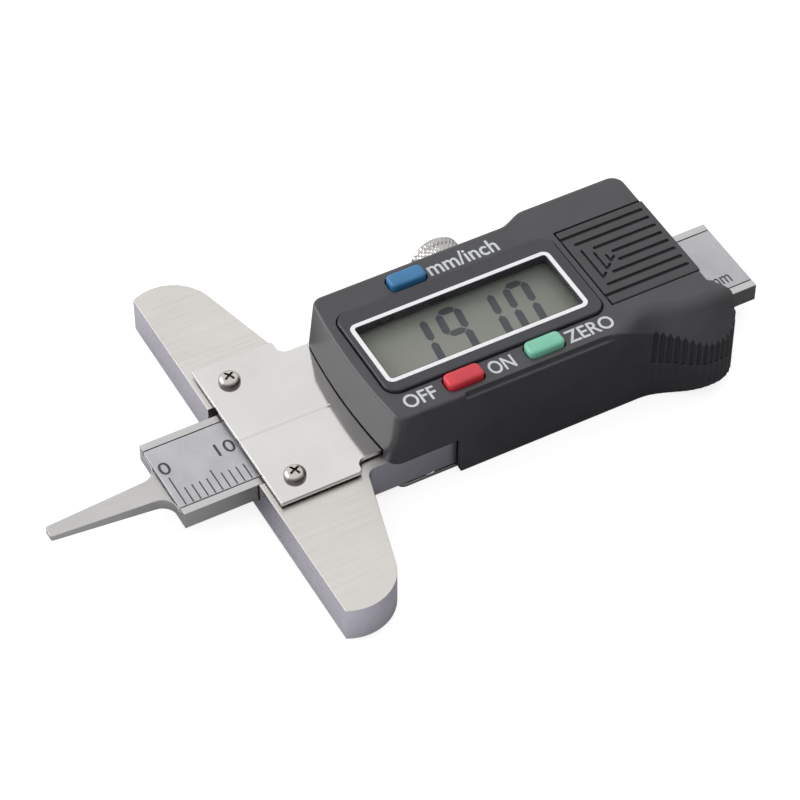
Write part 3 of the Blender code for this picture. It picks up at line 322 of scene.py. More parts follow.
class Finish:
    """Node helper round one Principled material."""

    def __init__(self, name, colour, roughness, metallic=0.0, specular=0.5):
        self.material = bpy.data.materials.new(name)
        self.material.use_nodes = True
        self.tree = self.material.node_tree
        self.shader = self.tree.nodes["Principled BSDF"]
        self.shader.inputs["Base Color"].default_value = (*colour, 1.0)
        self.shader.inputs["Roughness"].default_value = roughness
        self.shader.inputs["Metallic"].default_value = metallic
        self.shader.inputs["Specular IOR Level"].default_value = specular
        self.place = self.node("ShaderNodeTexCoord").outputs["Object"]
        self.height = None
        self.bevelled = None

    def node(self, kind, **settings):
        made = self.tree.nodes.new(kind)
        for key, value in settings.items():
            setattr(made, key, value)
        return made

    def link(self, source, target):
        self.tree.links.new(source, target)

    def mapped(self, scale):
        made = self.node("ShaderNodeMapping")
        made.inputs["Scale"].default_value = scale
        self.link(self.place, made.inputs["Vector"])
        return made.outputs["Vector"]

    def noise(self, scale, detail=3.0, rough=0.55, vector=None):
        made = self.node("ShaderNodeTexNoise")
        made.inputs["Scale"].default_value = scale
        made.inputs["Detail"].default_value = detail
        made.inputs["Roughness"].default_value = rough
        self.link(vector or self.place, made.inputs["Vector"])
        return made.outputs["Fac"]

    def remap(self, value, from_low, from_high, to_low=0.0, to_high=1.0):
        made = self.node("ShaderNodeMapRange")
        made.inputs["From Min"].default_value = from_low
        made.inputs["From Max"].default_value = from_high
        made.inputs["To Min"].default_value = to_low
        made.inputs["To Max"].default_value = to_high
        self.link(value, made.inputs["Value"])
        return made.outputs["Result"]

    def math(self, operation, first, second=0.0):
        made = self.node("ShaderNodeMath", operation=operation)
        for socket, value in zip(made.inputs, (first, second)):
            if isinstance(value, (int, float)):
                socket.default_value = value
            else:
                self.link(value, socket)
        return made.outputs["Value"]

    def mix(self, factor, first, second):
        made = self.node("ShaderNodeMix", data_type="RGBA")
        self.link(factor, made.inputs["Factor"])
        for socket, value in ((made.inputs[6], first), (made.inputs[7], second)):
            if isinstance(value, tuple):
                socket.default_value = (*value, 1.0)
            else:
                self.link(value, socket)
        return made.outputs[2]

    def spread(self, noise, low=0.0, high=1.0):
        """Stretches the middle of a noise's range."""
        return self.remap(noise, 0.3, 0.7, low, high)

    def average(self, first, second):
        return self.math("ADD", self.math("MULTIPLY", first, 0.5), self.math("MULTIPLY", second, 0.5))

    def split(self, vector):
        made = self.node("ShaderNodeSeparateXYZ")
        self.link(vector, made.inputs[0])
        return made.outputs

    def colour(self, value):
        self.link(value, self.shader.inputs["Base Color"])

    def roughness(self, value):
        self.link(value, self.shader.inputs["Roughness"])

    def bump(self, height, distance):
        made = self.node("ShaderNodeBump")
        made.inputs["Strength"].default_value = 1.0
        made.inputs["Distance"].default_value = distance
        self.link(height, made.inputs["Height"])
        if self.height is not None:
            self.link(self.height, made.inputs["Normal"])
        self.height = made.outputs["Normal"]
        self.link(self.height, self.shader.inputs["Normal"])

    def soft_edges(self, radius):
        """Rounded-looking edges; called before any bump."""
        made = self.node("ShaderNodeBevel", samples=4)
        made.inputs["Radius"].default_value = radius * MM
        self.bevelled = made.outputs["Normal"]
        self.height = self.bevelled
        self.link(self.height, self.shader.inputs["Normal"])

    def edge_mask(self):
        """One along edges, zero on flats."""
        geometry = self.node("ShaderNodeNewGeometry")
        dot = self.node("ShaderNodeVectorMath", operation="DOT_PRODUCT")
        self.link(self.bevelled, dot.inputs[0])
        self.link(geometry.outputs["Normal"], dot.inputs[1])
        return self.remap(dot.outputs["Value"], 0.995, 0.85)


def steel(name, colour, roughness, streaks=(60, 2200, 2200), grain=9e-6, painted_shade_tone=None, edge=0.12):
    """Ground steel: fine streaks in colour, gloss and height, and cloudy handling marks; when a shade tone
    is given, faces that don't face up get painted shade.
    """
    made = Finish(name, colour, roughness, metallic=1.0)
    made.soft_edges(edge)
    fine = made.noise(1.0, 2.0, 0.6, made.mapped(streaks))
    cloud = made.noise(140.0, 4.0, 0.6)
    speck = made.noise(5200.0, 2.0, 0.5)
    tone = made.average(fine, cloud)
    darker = tuple(c * 0.93 for c in colour)
    lighter = tuple(min(c * 1.04, 1.0) for c in colour)
    base = made.mix(made.remap(tone, 0.35, 0.65), darker, lighter)
    if painted_shade_tone is not None:
        # Painted shade: faces that don't face up are mixed towards the darker tone.
        geometry = made.node("ShaderNodeNewGeometry")
        upwards = made.split(geometry.outputs["Normal"])["Z"]
        side = made.remap(made.math("ABSOLUTE", upwards), 0.75, 0.35)
        base = made.mix(side, base, painted_shade_tone)
    made.colour(base)
    made.roughness(made.spread(tone, roughness * 0.85, roughness * 1.18))
    made.bump(fine, grain)
    made.bump(speck, grain * 0.5)
    return made.material


def plastic(name, colour, roughness, grain_scale=6500.0, grain=9e-6, specular=0.5, highlight_gain=1.5):
    """Moulded plastic: fine grain, slight cloudiness, and a painted highlight that makes the edges lighter
    by the given factor.
    """
    made = Finish(name, colour, roughness, specular=specular)
    made.soft_edges(0.14)
    cloud = made.noise(220.0, 3.0, 0.6)
    grain_value = made.noise(grain_scale, 2.0, 0.5)
    darker = tuple(c * 0.88 for c in colour)
    lighter = tuple(min(c * 1.12, 1.0) for c in colour)
    edge_highlight = tuple(min(c * highlight_gain, 1.0) for c in colour)
    base = made.mix(made.spread(cloud), darker, lighter)
    # Painted highlight: edges are mixed halfway towards the lighter colour.
    made.colour(made.mix(made.math("MULTIPLY", made.edge_mask(), 0.5), base, edge_highlight))
    made.roughness(made.spread(cloud, roughness * 0.9, roughness * 1.12))
    made.bump(grain_value, grain)
    return made.material


def plate_finish():
    """Polished sheet with a faint line down its middle: a shallow crease in the bump, and painted shade
    along it in the colour.
    """
    line_y = 0.2 * MM
    line_reach = 0.28 * MM
    made = Finish("polished_sheet", (0.70, 0.685, 0.67), 0.13, metallic=1.0)
    made.soft_edges(0.12)
    fine = made.noise(1.0, 2.0, 0.6, made.mapped((90, 1500, 1500)))
    cloud = made.noise(120.0, 4.0, 0.6)
    away = made.math("ABSOLUTE", made.math("SUBTRACT", made.split(made.place)["Y"], line_y))
    crease_and_shade = made.remap(away, 0.0, line_reach, 1.0, 0.0)
    base = made.mix(made.spread(cloud), (0.67, 0.655, 0.64), (0.73, 0.715, 0.70))
    # Painted shade: the colour along the line is mixed towards a darker tone.
    made.colour(made.mix(made.math("MULTIPLY", crease_and_shade, 0.45), base, (0.52, 0.51, 0.49)))
    made.roughness(made.spread(cloud, 0.07, 0.12))
    made.bump(fine, 1.5e-6)
    made.bump(made.math("SUBTRACT", 1.0, crease_and_shade), 2.5e-5)
    return made.material


def strip_finish():
    """Satin anodised strip with a sprayed look."""
    made = Finish("satin_strip", (0.50, 0.50, 0.52), 0.42, metallic=0.75)
    made.soft_edges(0.05)
    speck = made.noise(4200.0, 3.0, 0.6)
    cloud = made.noise(300.0, 3.0, 0.6)
    tone = made.average(speck, cloud)
    made.colour(made.mix(made.remap(tone, 0.38, 0.62), (0.45, 0.45, 0.475), (0.53, 0.53, 0.55)))
    made.roughness(made.spread(speck, 0.36, 0.50))
    made.bump(speck, 6e-6)
    return made.material


def print_finish(name, colour, roughness=0.5):
    """Screen-printed ink, slightly uneven."""
    made = Finish(name, colour, roughness)
    cloud = made.noise(3500.0, 3.0, 0.6)
    darker = tuple(c * 0.9 for c in colour)
    made.colour(made.mix(made.remap(cloud, 0.35, 0.65), darker, colour))
    made.roughness(made.spread(cloud, roughness * 0.9, roughness * 1.15))
    made.bump(cloud, 2e-6)
    return made.material


def lcd_finish():
    """Reflective liquid crystal: olive grey with faint mottling, and painted shade that makes it darker
    towards the rear and far side, lighter towards the front.
    """
    light = (0.255, 0.265, 0.225)
    painted_shade_tone = (0.16, 0.175, 0.145)
    made = Finish("lcd_face", (0.27, 0.275, 0.225), 0.32, specular=0.35)
    place = made.split(made.place)
    along = made.remap(place["X"], -4 * MM, 23 * MM)
    across = made.remap(place["Y"], -5 * MM, 4 * MM)
    cloud = made.noise(160.0, 3.0, 0.6)
    # Painted shade: the tone grows darker towards the rear and the far side.
    tone = made.math("ADD", made.math("MULTIPLY", along, 0.35), made.math("MULTIPLY", across, 0.35))
    tone = made.math("ADD", tone, made.math("MULTIPLY", cloud, 0.3))
    made.colour(made.mix(made.remap(tone, 0.15, 0.85), light, painted_shade_tone))
    made.roughness(made.spread(cloud, 0.26, 0.38))
    made.bump(made.noise(7000.0, 1.0), 1e-6)
    return made.material


def lens_finish():
    """Clear moulded window."""
    made = Finish("clear_window", (0.60, 0.62, 0.62), 0.05)
    made.shader.inputs["Alpha"].default_value = 0.035
    smear = made.noise(260.0, 4.0, 0.6)
    made.roughness(made.spread(smear, 0.03, 0.12))
    made.bump(smear, 2e-6)
    return made.material


def rubber_finish(name, colour, stripes):
    """Silicone rubber; the connector strips have fine conducting layers."""
    made = Finish(name, colour, 0.7, specular=0.3)
    cloud = made.noise(900.0, 3.0, 0.6)
    darker = tuple(c * 0.6 for c in colour)
    if stripes:
        wave = made.node("ShaderNodeTexWave")
        wave.inputs["Scale"].default_value = 900.0
        made.link(made.place, wave.inputs["Vector"])
        made.colour(made.mix(wave.outputs["Fac"], darker, colour))
    else:
        made.colour(made.mix(made.spread(cloud), darker, colour))
    made.roughness(made.spread(cloud, 0.62, 0.8))
    made.bump(cloud, 1e-5)
    return made.material


def board_finish():
    """Solder mask over a mesh of copper lines."""
    made = Finish("solder_mask", (0.02, 0.13, 0.06), 0.3)
    cells = made.node("ShaderNodeTexVoronoi", feature="DISTANCE_TO_EDGE")
    cells.inputs["Scale"].default_value = 620.0
    made.link(made.place, cells.inputs["Vector"])
    line = made.remap(cells.outputs["Distance"], 0.05, 0.08, 1.0, 0.0)
    made.colour(made.mix(line, (0.018, 0.115, 0.05), (0.05, 0.24, 0.10)))
    made.roughness(made.spread(made.noise(800.0), 0.24, 0.4))
    made.bump(line, 1e-5)
    return made.material


# The darker tones given to these steels are painted shade on faces that don't face up; the ground steel's
# bluish one also paints the tint its front faces reflect, and the screw's paints shade into its cross
# recess.
SATIN = steel("ground_steel", (0.67, 0.65, 0.62), 0.29, grain=5e-6, painted_shade_tone=(0.59, 0.57, 0.63))
FRAME = steel("milled_frame_steel", (0.62, 0.61, 0.59), 0.36, painted_shade_tone=(0.42, 0.415, 0.405))
BEAM = steel("beam_steel", (0.56, 0.55, 0.545), 0.33, streaks=(140, 1600, 1600), painted_shade_tone=(0.33, 0.325, 0.32))
PLATE = plate_finish()
SCREW = steel(
    "plated_screw", (0.60, 0.555, 0.52), 0.22, streaks=(900, 900, 900), painted_shade_tone=(0.17, 0.15, 0.15),
    edge=0.04,
)
KNOB = steel("plated_knob", (0.49, 0.48, 0.465), 0.24, streaks=(700, 700, 700), edge=0.05)
CONTACT = steel("nickel_contact", (0.68, 0.66, 0.60), 0.28, streaks=(300, 1500, 1500), edge=0.05)
STRIP = strip_finish()
SHELL = plastic("moulded_black", (0.044, 0.043, 0.048), 0.34, specular=0.6, highlight_gain=2.2)
BEZEL = plastic("bezel_black", (0.034, 0.034, 0.042), 0.28, grain=4e-6, highlight_gain=2.0)
COVER = plastic("cover_black", (0.042, 0.042, 0.046), 0.40, highlight_gain=2.2)
BLUE = plastic("blue_key", (0.036, 0.18, 0.385), 0.36, grain_scale=5200.0, highlight_gain=1.5)
RED = plastic("red_key", (0.63, 0.037, 0.055), 0.36, grain_scale=5200.0, highlight_gain=1.25)
GREEN = plastic("green_key", (0.20, 0.54, 0.385), 0.36, grain_scale=5200.0, highlight_gain=1.25)
WHITE_INK = print_finish("white_ink", (0.88, 0.88, 0.90))
LABEL_INK = print_finish("label_ink", (0.62, 0.64, 0.68))
DARK_INK = print_finish("dark_ink", (0.045, 0.045, 0.05))
SEGMENT = print_finish("segment_ink", (0.018, 0.024, 0.034), 0.4)
LCD = lcd_finish()
LENS = lens_finish()
ZEBRA = rubber_finish("striped_rubber", (0.40, 0.40, 0.42), True)
DOME = rubber_finish("dome_rubber", (0.42, 0.42, 0.43), False)
BOARD = board_finish()


# Housing

def grip_path(depth, bulge=GRIP_BULGE, near=HOUSING_NEAR):
    """Plan path of the swelling: flare, corner and return, with ribs of that depth."""
    bulge = bulge - (near - HOUSING_NEAR)
    radius = GRIP_CORNER_RADIUS
    corner = (REAR_X + GRIP_REAR_BULGE - radius, -near - bulge + radius)
    start_x = corner[0] - GRIP_LENGTH
    samples = RIB_COUNT * RIB_SAMPLES
    flare_steps = round(samples * GRIP_LENGTH / (GRIP_LENGTH + radius * math.pi / 2))

    def flare(x):
        return (x, -near - bulge * ease((x - start_x + GRIP_LEAD) / GRIP_FLARE_LENGTH))

    path = [flare(start_x + GRIP_LENGTH * i / flare_steps) for i in range(flare_steps)]
    path += arc(corner, radius, -90, 0, samples - flare_steps)
    if depth:
        ribbed = inset(path, depth)
        for i in range(1, len(path) - 1):
            wave = (1 - math.cos(2 * math.pi * i / RIB_SAMPLES)) / 2
            path[i] = tuple(Vector(path[i]).lerp(Vector(ribbed[i]), wave ** RIB_SHARPNESS))
    lead_steps = 14
    lead = start_x - GRIP_RIM_START
    path = [flare(GRIP_RIM_START + lead * i / lead_steps) for i in range(lead_steps)] + path
    return_steps = 12
    for i in range(1, return_steps + 1):
        share = i / return_steps
        y = corner[1] + (GRIP_RETURN_Y - corner[1]) * share
        path.append((REAR_X + GRIP_REAR_BULGE * math.cos(math.pi / 2 * share), y))
    return path


def housing_outline(front_x, grip, near=HOUSING_NEAR):
    """Plan outline: bowed front, near side with the swelling, rear, and the ramp on the far side."""
    radius = FRONT_CORNER_RADIUS
    half_chord = (HOUSING_NEAR + HOUSING_FAR) / 2 - radius
    bow = math.degrees(math.asin(half_chord / FRONT_BOW_RADIUS))
    sag = FRONT_BOW_RADIUS * (1 - math.cos(math.radians(bow)))
    corner_x = front_x + sag + radius
    outline = arc((corner_x, -near + radius), radius, 180 + bow, 270, 10)
    outline += grip
    corner = FAR_REAR_CORNER_RADIUS
    outline += arc((REAR_X - corner, HOUSING_FAR_REAR - corner), corner, 0, 90, 12)
    step = HOUSING_FAR_REAR - HOUSING_FAR
    ramp_steps = 16
    for i in range(ramp_steps + 1):
        share = i / ramp_steps
        ramp_x = FAR_RAMP_END_X - FAR_RAMP_LENGTH * share
        outline.append((ramp_x, HOUSING_FAR_REAR - step * ease(share)))
    outline += arc((corner_x, HOUSING_FAR - radius), radius, 90, 180 - bow, 10)
    bow_centre = (front_x + FRONT_BOW_RADIUS, (HOUSING_FAR - HOUSING_NEAR) / 2)
    outline += arc(bow_centre, FRONT_BOW_RADIUS, 180 - bow, 180 + bow, 16)[1:-1]
    return outline


def front_wall_x(z):
    return FOOT_X + (BROW_X - FOOT_X) * (z - SHELL_BOTTOM) / (HOUSING_TOP - SHELL_BOTTOM)


def slope_wedge():
    """Tool above the slope over the swelling, which starts with a soft bend at the shoulder."""
    blend = SLOPE_BLEND
    reach = 2 * GRIP_BULGE + OVERRUN
    section = [(-blend, OVERRUN), (-blend, 0.0)]
    for share in (-0.5, 0.0, 0.5, 1.0):
        section.append((blend * share, -blend * (share + 1) ** 2 / 4))
    section += [(reach, -reach), (reach, OVERRUN)]
    rings = []
    for x, near in SHOULDER:
        rings.append([(x, -near - out, HOUSING_TOP + SLOPE_STEEPNESS * up) for out, up in section])
    return loft(bmesh.new(), rings)


CAVITY_REAR = REAR_X - SHELL_WALL
CAVITY_NEAR = HOUSING_NEAR - SHELL_WALL
CAVITY_FAR = HOUSING_FAR - SHELL_WALL


def columns(places, radius, z_low, z_high):
    bm = bmesh.new()
    for place in places:
        turned(place, [(radius, z_low), (radius, z_high)], 32, bm)
    return bm


def millimetres(node):
    low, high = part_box(node)
    return [value / MM for value in low], [value / MM for value in high]


def key_place(node):
    low, high = millimetres(node)
    return (low[0] + high[0]) / 2, (low[1] + high[1]) / 2


KEYS = {
    "units": (key_place("units_button"), BLUE, "blue_cap"),
    "power": (key_place("power_button"), RED, "red_cap"),
    "zero": (key_place("zero_button"), GREEN, "green_cap"),
}
KEY_LENGTH = 5.0
KEY_WIDTH = 2.35
KEY_CORNER = 0.7
TRIM_GAP = 0.22
BACK_SCREWS = [key_place("back_screw_%d" % number) for number in (1, 2, 3, 4)]
BEZEL_LOW, BEZEL_HIGH = millimetres("display_bezel")
PLATE_END_X = millimetres("cover_plate")[1][0]
BEZEL_CORNER = 1.8
WINDOW = (BEZEL_LOW[0] + 1.4, BEZEL_HIGH[0] - 2.15, BEZEL_LOW[1] + 2.2, BEZEL_HIGH[1] - 3.25)
LENS_LOW, LENS_HIGH = millimetres("display_lens")
LCD_LOW, LCD_HIGH = millimetres("lcd_panel")


def key_outline(place, gap, steps=8):
    x, y = place
    half_length = KEY_LENGTH / 2 + gap
    half_width = KEY_WIDTH / 2 + gap
    radius = KEY_CORNER + gap
    return rounded_rectangle(x - half_length, x + half_length, y - half_width, y + half_width, radius, steps)


def key_bays():
    bm = bmesh.new()
    for place, _, _ in KEYS.values():
        prism(key_outline(place, TRIM_GAP), SHELL_CEILING - OVERRUN, HOUSING_TOP + OVERRUN, bm)
    return bm


def room_for(low, high, z_low, z_high):
    """Space for a panel, with a gap all round."""
    gap = SEAT_GAP
    return box(low[0] - gap, high[0] + gap, low[1] - gap, high[1] + gap, z_low, z_high)


def bezel_outline(gap):
    radius = BEZEL_CORNER + gap
    x_low, x_high = BEZEL_LOW[0] - gap, BEZEL_HIGH[0] + gap
    return rounded_rectangle(x_low, x_high, BEZEL_LOW[1] - gap, BEZEL_HIGH[1] + gap, radius, 10)


def near_ledge():
    """Tool for the stepped edge along the top's near side, which dies out at both ends."""
    rings = []
    for x, away in LEDGE_RINGS:
        inner = -LEDGE_INNER - away
        points = [(x, inner - out, HOUSING_TOP + up) for out, up in LEDGE_PROFILE]
        outer = -HOUSING_NEAR - 2 * OVERRUN
        points.append((x, outer, HOUSING_TOP + LEDGE_PROFILE[-1][1]))
        points.append((x, outer, HOUSING_TOP + OVERRUN))
        rings.append(points)
    return loft(bmesh.new(), rings)


def shell_body():
    """Upper shell as a solid: leaning walls, ribs on the swelling, and a rounded top edge."""
    bottom = SKIRT_TOP + SEAM
    brow_z = HOUSING_TOP - EDGE_RADIUS
    brow_x = front_wall_x(brow_z)
    rings = [at_height(housing_outline(front_wall_x(bottom), grip_path(RIB_DEPTH)), bottom)]
    rings.append(at_height(housing_outline(brow_x, grip_path(RIB_DEPTH, near=NEAR_RIM), NEAR_RIM), brow_z))
    smooth_brow = housing_outline(brow_x, grip_path(0, near=NEAR_RIM), NEAR_RIM)
    return loft(bmesh.new(), rings + rounded_top(smooth_brow, brow_z, EDGE_RADIUS, 5))


def build_top_shell():
    """Upper shell with its cavity, screw bosses, and the openings for keys, display and cover."""
    below = SHELL_BOTTOM - OVERRUN
    above = HOUSING_TOP + OVERRUN
    rear = REAR_X + REAR_REACH
    bay = COVER_HALF_WIDTH + COVER_PLAY
    web = COVER_HALF_WIDTH - COVER_RAIL + SEAT_GAP
    tongue = web + COVER_TONGUE
    mid = CELL_OFFSET
    room_near = -PLATE_NEAR - SEAT_GAP
    plate_end = PLATE_END_X + SEAT_GAP
    web_top = COVER_POCKET_FLOOR + SEAT_GAP
    rails = box(REAR_X - RAIL_ROOM_LENGTH, rear, mid - web, mid + web, RAIL_ROOM_BOTTOM, web_top)
    tongues = box(
        REAR_X - TONGUE_ROOM_LENGTH, rear, mid - tongue, mid + tongue, RAIL_ROOM_BOTTOM, SHELL_CEILING
    )
    return carve(
        shell_body(),
        ("cut", slope_wedge()),
        ("cut", near_ledge()),
        ("cut", box(BROW_X + SHELL_WALL, CAVITY_REAR, -CAVITY_NEAR, CAVITY_FAR, below, SHELL_CEILING)),
        ("join", columns(BACK_SCREWS, BOSS_RADIUS, BOARD_BOTTOM, SHELL_CEILING + SEAT_GAP)),
        ("cut", columns(BACK_SCREWS, BOSS_HOLE_RADIUS, below, BOSS_HOLE_TOP)),
        ("cut", box(BASE_X, plate_end, room_near, HOUSING_FAR + OVERRUN, below, PLATE_TOP + SEAT_GAP)),
        ("cut", key_bays()),
        ("cut", prism(bezel_outline(TRIM_GAP), BEZEL_LOW[2] - SEAT_GAP, above)),
        ("cut", room_for(LENS_LOW, LENS_HIGH, SHELL_CEILING - OVERRUN, above)),
        ("cut", room_for(LCD_LOW, LCD_HIGH, *PANEL_ROOM)),
        ("cut", box(COVER_X - COVER_PLAY, rear, mid - bay, mid + bay, COVER_POCKET_FLOOR, above)),
        ("cut", rails),
        ("cut", tongues),
    )


def skirt_outline(depth, bulge):
    behind = [point for point in housing_outline(FOOT_X, grip_path(depth, bulge)) if point[0] > SKIRT_X]
    return [(SKIRT_X, -HOUSING_NEAR)] + behind + [(SKIRT_X, HOUSING_FAR)]


# Height, and how far the foot's rounding is set in there.
SKIRT_FOOT = ((0.0, 0.25), (0.08, 0.07), (0.25, 0.0), (0.8, 0.0), (1.4, 0.0), (GRIP_UNDERCUT, 0.0))


def lock_axis():
    low, high = millimetres("lock_screw")
    return (low[0] + high[0]) / 2, (low[2] + high[2]) / 2


def facing_far(x, z):
    """Turns a piece made along +Z so that it points along +Y, at that place."""
    return Matrix.Translation((x, 0, z)) @ Matrix.Rotation(math.radians(-90), 4, "X")


def build_skirt():
    """Lower shell, rounded in towards its foot under the swelling."""
    rings = []
    for z, pull in SKIRT_FOOT:
        share = math.sin(math.pi / 2 * z / GRIP_UNDERCUT)
        bulge = GRIP_FOOT_BULGE + (GRIP_BULGE - GRIP_FOOT_BULGE) * (0.5 * share + 0.5 * z / GRIP_UNDERCUT)
        outline = skirt_outline(RIB_FOOT_DEPTH * share, bulge)
        rings.append(at_height(inset(outline, pull) if pull else outline, z))
    rings.append(at_height(skirt_outline(RIB_FOOT_DEPTH, GRIP_BULGE), SKIRT_TOP))
    skirt = loft(bmesh.new(), rings)
    way = BEAM_HALF_WIDTH + SEAT_GAP
    end = FRAME_END_X + SEAT_GAP
    hole = columns([(0, 0)], LOCK_HOLE_RADIUS, FRAME_FAR - OVERRUN, HOUSING_FAR + OVERRUN)
    bmesh.ops.transform(hole, matrix=facing_far(*lock_axis()), verts=hole.verts)
    above = SKIRT_TOP + OVERRUN
    return carve(
        skirt,
        ("cut", box(BASE_X, end, -FRAME_NEAR - SEAT_GAP, FRAME_FAR + SEAT_GAP, -OVERRUN, above)),
        ("cut", box(end - OVERRUN, REAR_X + REAR_REACH, -way, way, BEAM_WAY_BOTTOM, above)),
        ("cut", hole),
    )


piece("top_shell", build_top_shell(), "housing", SHELL, ["upper_housing"], 38)
piece("skirt_shell", build_skirt(), "housing", SHELL, ["lower_housing"], 38)


# Display

DISPLAY_EDGE_RADIUS = 0.24
WINDOW_CORNER = 0.4


def window_outline(margin, radius):
    x_low, x_high, y_low, y_high = WINDOW
    return rounded_rectangle(x_low - margin, x_high + margin, y_low - margin, y_high + margin, radius)


def build_display_frame():
    """Raised frame with a rounded outer edge round the window."""
    low, high = BEZEL_LOW[2], BEZEL_HIGH[2]
    outline = bezel_outline(0)
    shoulder = high - DISPLAY_EDGE_RADIUS
    rings = [at_height(outline, low), at_height(outline, shoulder)]
    rings += rounded_top(outline, shoulder, DISPLAY_EDGE_RADIUS, 4)
    window = prism(window_outline(0, WINDOW_CORNER), low - OVERRUN, high + OVERRUN)
    return carve(loft(bmesh.new(), rings), ("cut", window))


def flat_ring(outer, inner, z_low, z_high):
    bm = bmesh.new()
    rows = []
    for outline, z in ((outer, z_low), (outer, z_high), (inner, z_high), (inner, z_low)):
        rows.append([bm.verts.new((x, y, z)) for x, y in outline])
    count = len(outer)
    for k in range(4):
        first, second = rows[k], rows[(k + 1) % 4]
        for i in range(count):
            j = (i + 1) % count
            bm.faces.new((first[i], first[j], second[j], second[i]))
    return bm


piece("display_frame", build_display_frame(), "housing", BEZEL, ["display_bezel"])
# Distance from the window's edge, and corner radius.
BORDER_OUTER = (0.66, 1.0)
BORDER_INNER = (0.09, 0.45)
BORDER_BOTTOM = BEZEL_HIGH[2] - 0.02
BORDER_THICKNESS = 0.05
border = flat_ring(
    window_outline(*BORDER_OUTER), window_outline(*BORDER_INNER), BORDER_BOTTOM,
    BORDER_BOTTOM + BORDER_THICKNESS,
)
piece("display_border", border, "housing", WHITE_INK)

DIGIT_TOP = 3.0
DIGIT_MIDDLE = -0.85
DIGIT_BOTTOM = -4.7
DIGIT_SLANT = 0.12
DIGIT_WIDTH = 2.6
DIGIT_LEVEL = 1.55
SEGMENT_WIDTH = 1.02
SEGMENT_GAP = 0.1
SEGMENT_THICKNESS = 0.02
DIGIT_RISE = 0.01
# Right edge of each digit, and the segments that are lit in it.
DIGITS = ((4.35, "bc"), (9.2, "abcdfg"), (14.0, "bc"), (18.9, "abcdef"))
POINT_HALF = 0.36
POINT_AWAY = 1.3


def segment(bm, first, second, z):
    """Bar with pointed ends between two places."""
    a = Vector(first)
    b = Vector(second)
    along = (b - a).normalized()
    across = Vector((-along.y, along.x)) * SEGMENT_WIDTH / 2
    a = a + along * SEGMENT_GAP
    b = b - along * SEGMENT_GAP
    tip = along * SEGMENT_WIDTH / 2
    outline = [a, a + tip - across, b - tip - across, b, b - tip + across, a + tip + across]
    prism([tuple(point) for point in outline], z, z + SEGMENT_THICKNESS, bm)


def digit(bm, right_x, lit, z):
    """Slanted seven-segment digit."""
    def place(side, y):
        x = right_x + DIGIT_SLANT * (y - DIGIT_LEVEL)
        return (x if side else x - DIGIT_WIDTH, y)

    ends = {
        "a": (place(0, DIGIT_TOP), place(1, DIGIT_TOP)),
        "b": (place(1, DIGIT_MIDDLE), place(1, DIGIT_TOP)),
        "c": (place(1, DIGIT_BOTTOM), place(1, DIGIT_MIDDLE)),
        "d": (place(0, DIGIT_BOTTOM), place(1, DIGIT_BOTTOM)),
        "e": (place(0, DIGIT_BOTTOM), place(0, DIGIT_MIDDLE)),
        "f": (place(0, DIGIT_MIDDLE), place(0, DIGIT_TOP)),
        "g": (place(0, DIGIT_MIDDLE), place(1, DIGIT_MIDDLE)),
    }
    for name in lit:
        segment(bm, *ends[name], z)


def build_digits():
    """The reading, with its point after the second digit."""
    z = LCD_HIGH[2] + DIGIT_RISE
    bm = bmesh.new()
    for right_x, lit in DIGITS:
        digit(bm, right_x, lit, z)
    x = DIGITS[1][0] + DIGIT_SLANT * (DIGIT_BOTTOM - DIGIT_LEVEL) + POINT_AWAY
    half = POINT_HALF
    box(x - half, x + half, DIGIT_BOTTOM - half, DIGIT_BOTTOM + half, z, z + SEGMENT_THICKNESS, bm)
    return bm


piece("display_digits", build_digits(), "housing", SEGMENT)


# Lettering

PRINT_SINK = 0.005
PRINT_THICKNESS = 0.025


def lettering(name, text, box_mm, z, body, finish, bold=0.014):
    """Flat raised lettering that fills a box (x_low, x_high, y_low, y_high)."""
    curve = bpy.data.curves.new(name, "FONT")
    curve.body = text
    curve.resolution_u = 6
    curve.offset = bold
    made = bpy.data.objects.new(name, curve)
    bpy.context.scene.collection.objects.link(made)
    bpy.context.view_layer.update()
    mesh = bpy.data.meshes.new_from_object(made)
    bpy.data.objects.remove(made, do_unlink=True)
    bpy.data.curves.remove(curve)
    bm = bmesh.new()
    bm.from_mesh(mesh)
    bpy.data.meshes.remove(mesh)
    bmesh.ops.remove_doubles(bm, verts=bm.verts, dist=1e-5)
    xs = [v.co.x for v in bm.verts]
    ys = [v.co.y for v in bm.verts]
    x_low, x_high, y_low, y_high = box_mm
    for v in bm.verts:
        v.co.x = x_low + (v.co.x - min(xs)) / (max(xs) - min(xs)) * (x_high - x_low)
        v.co.y = y_low + (v.co.y - min(ys)) / (max(ys) - min(ys)) * (y_high - y_low)
        v.co.z = z
    grown = bmesh.ops.extrude_face_region(bm, geom=bm.faces[:])
    top = [g for g in grown["geom"] if isinstance(g, bmesh.types.BMVert)]
    bmesh.ops.translate(bm, verts=top, vec=(0, 0, PRINT_THICKNESS))
    return piece(name, bm, body, finish)


TOP_WORDS = {
    "label_off": ("OFF", (-4.85, -0.45, -10.85, -8.65)),
    "label_on": ("ON", (7.0, 10.5, -10.85, -8.65)),
    "label_zero": ("ZERO", (18.05, 24.7, -10.75, -8.6)),
    "label_units": ("mm/inch", (8.65, 18.65, 7.75, 10.2)),
}
for words_name, (words, area) in TOP_WORDS.items():
    lettering(words_name, words, area, HOUSING_TOP - PRINT_SINK, "housing", LABEL_INK)

STRIP_PRINT = millimetres("scale_strip")[1][2] - PRINT_SINK
TICK_COUNT = 51
TICK_ZERO_X = -32.4
TICK_HALF_WIDTH = 0.085
TICK_BOTTOM_Y = -5.05
# Every how many lines, and how far up such a line goes.
TICK_TOPS = ((1, -2.43), (5, -1.43), (10, -0.13))


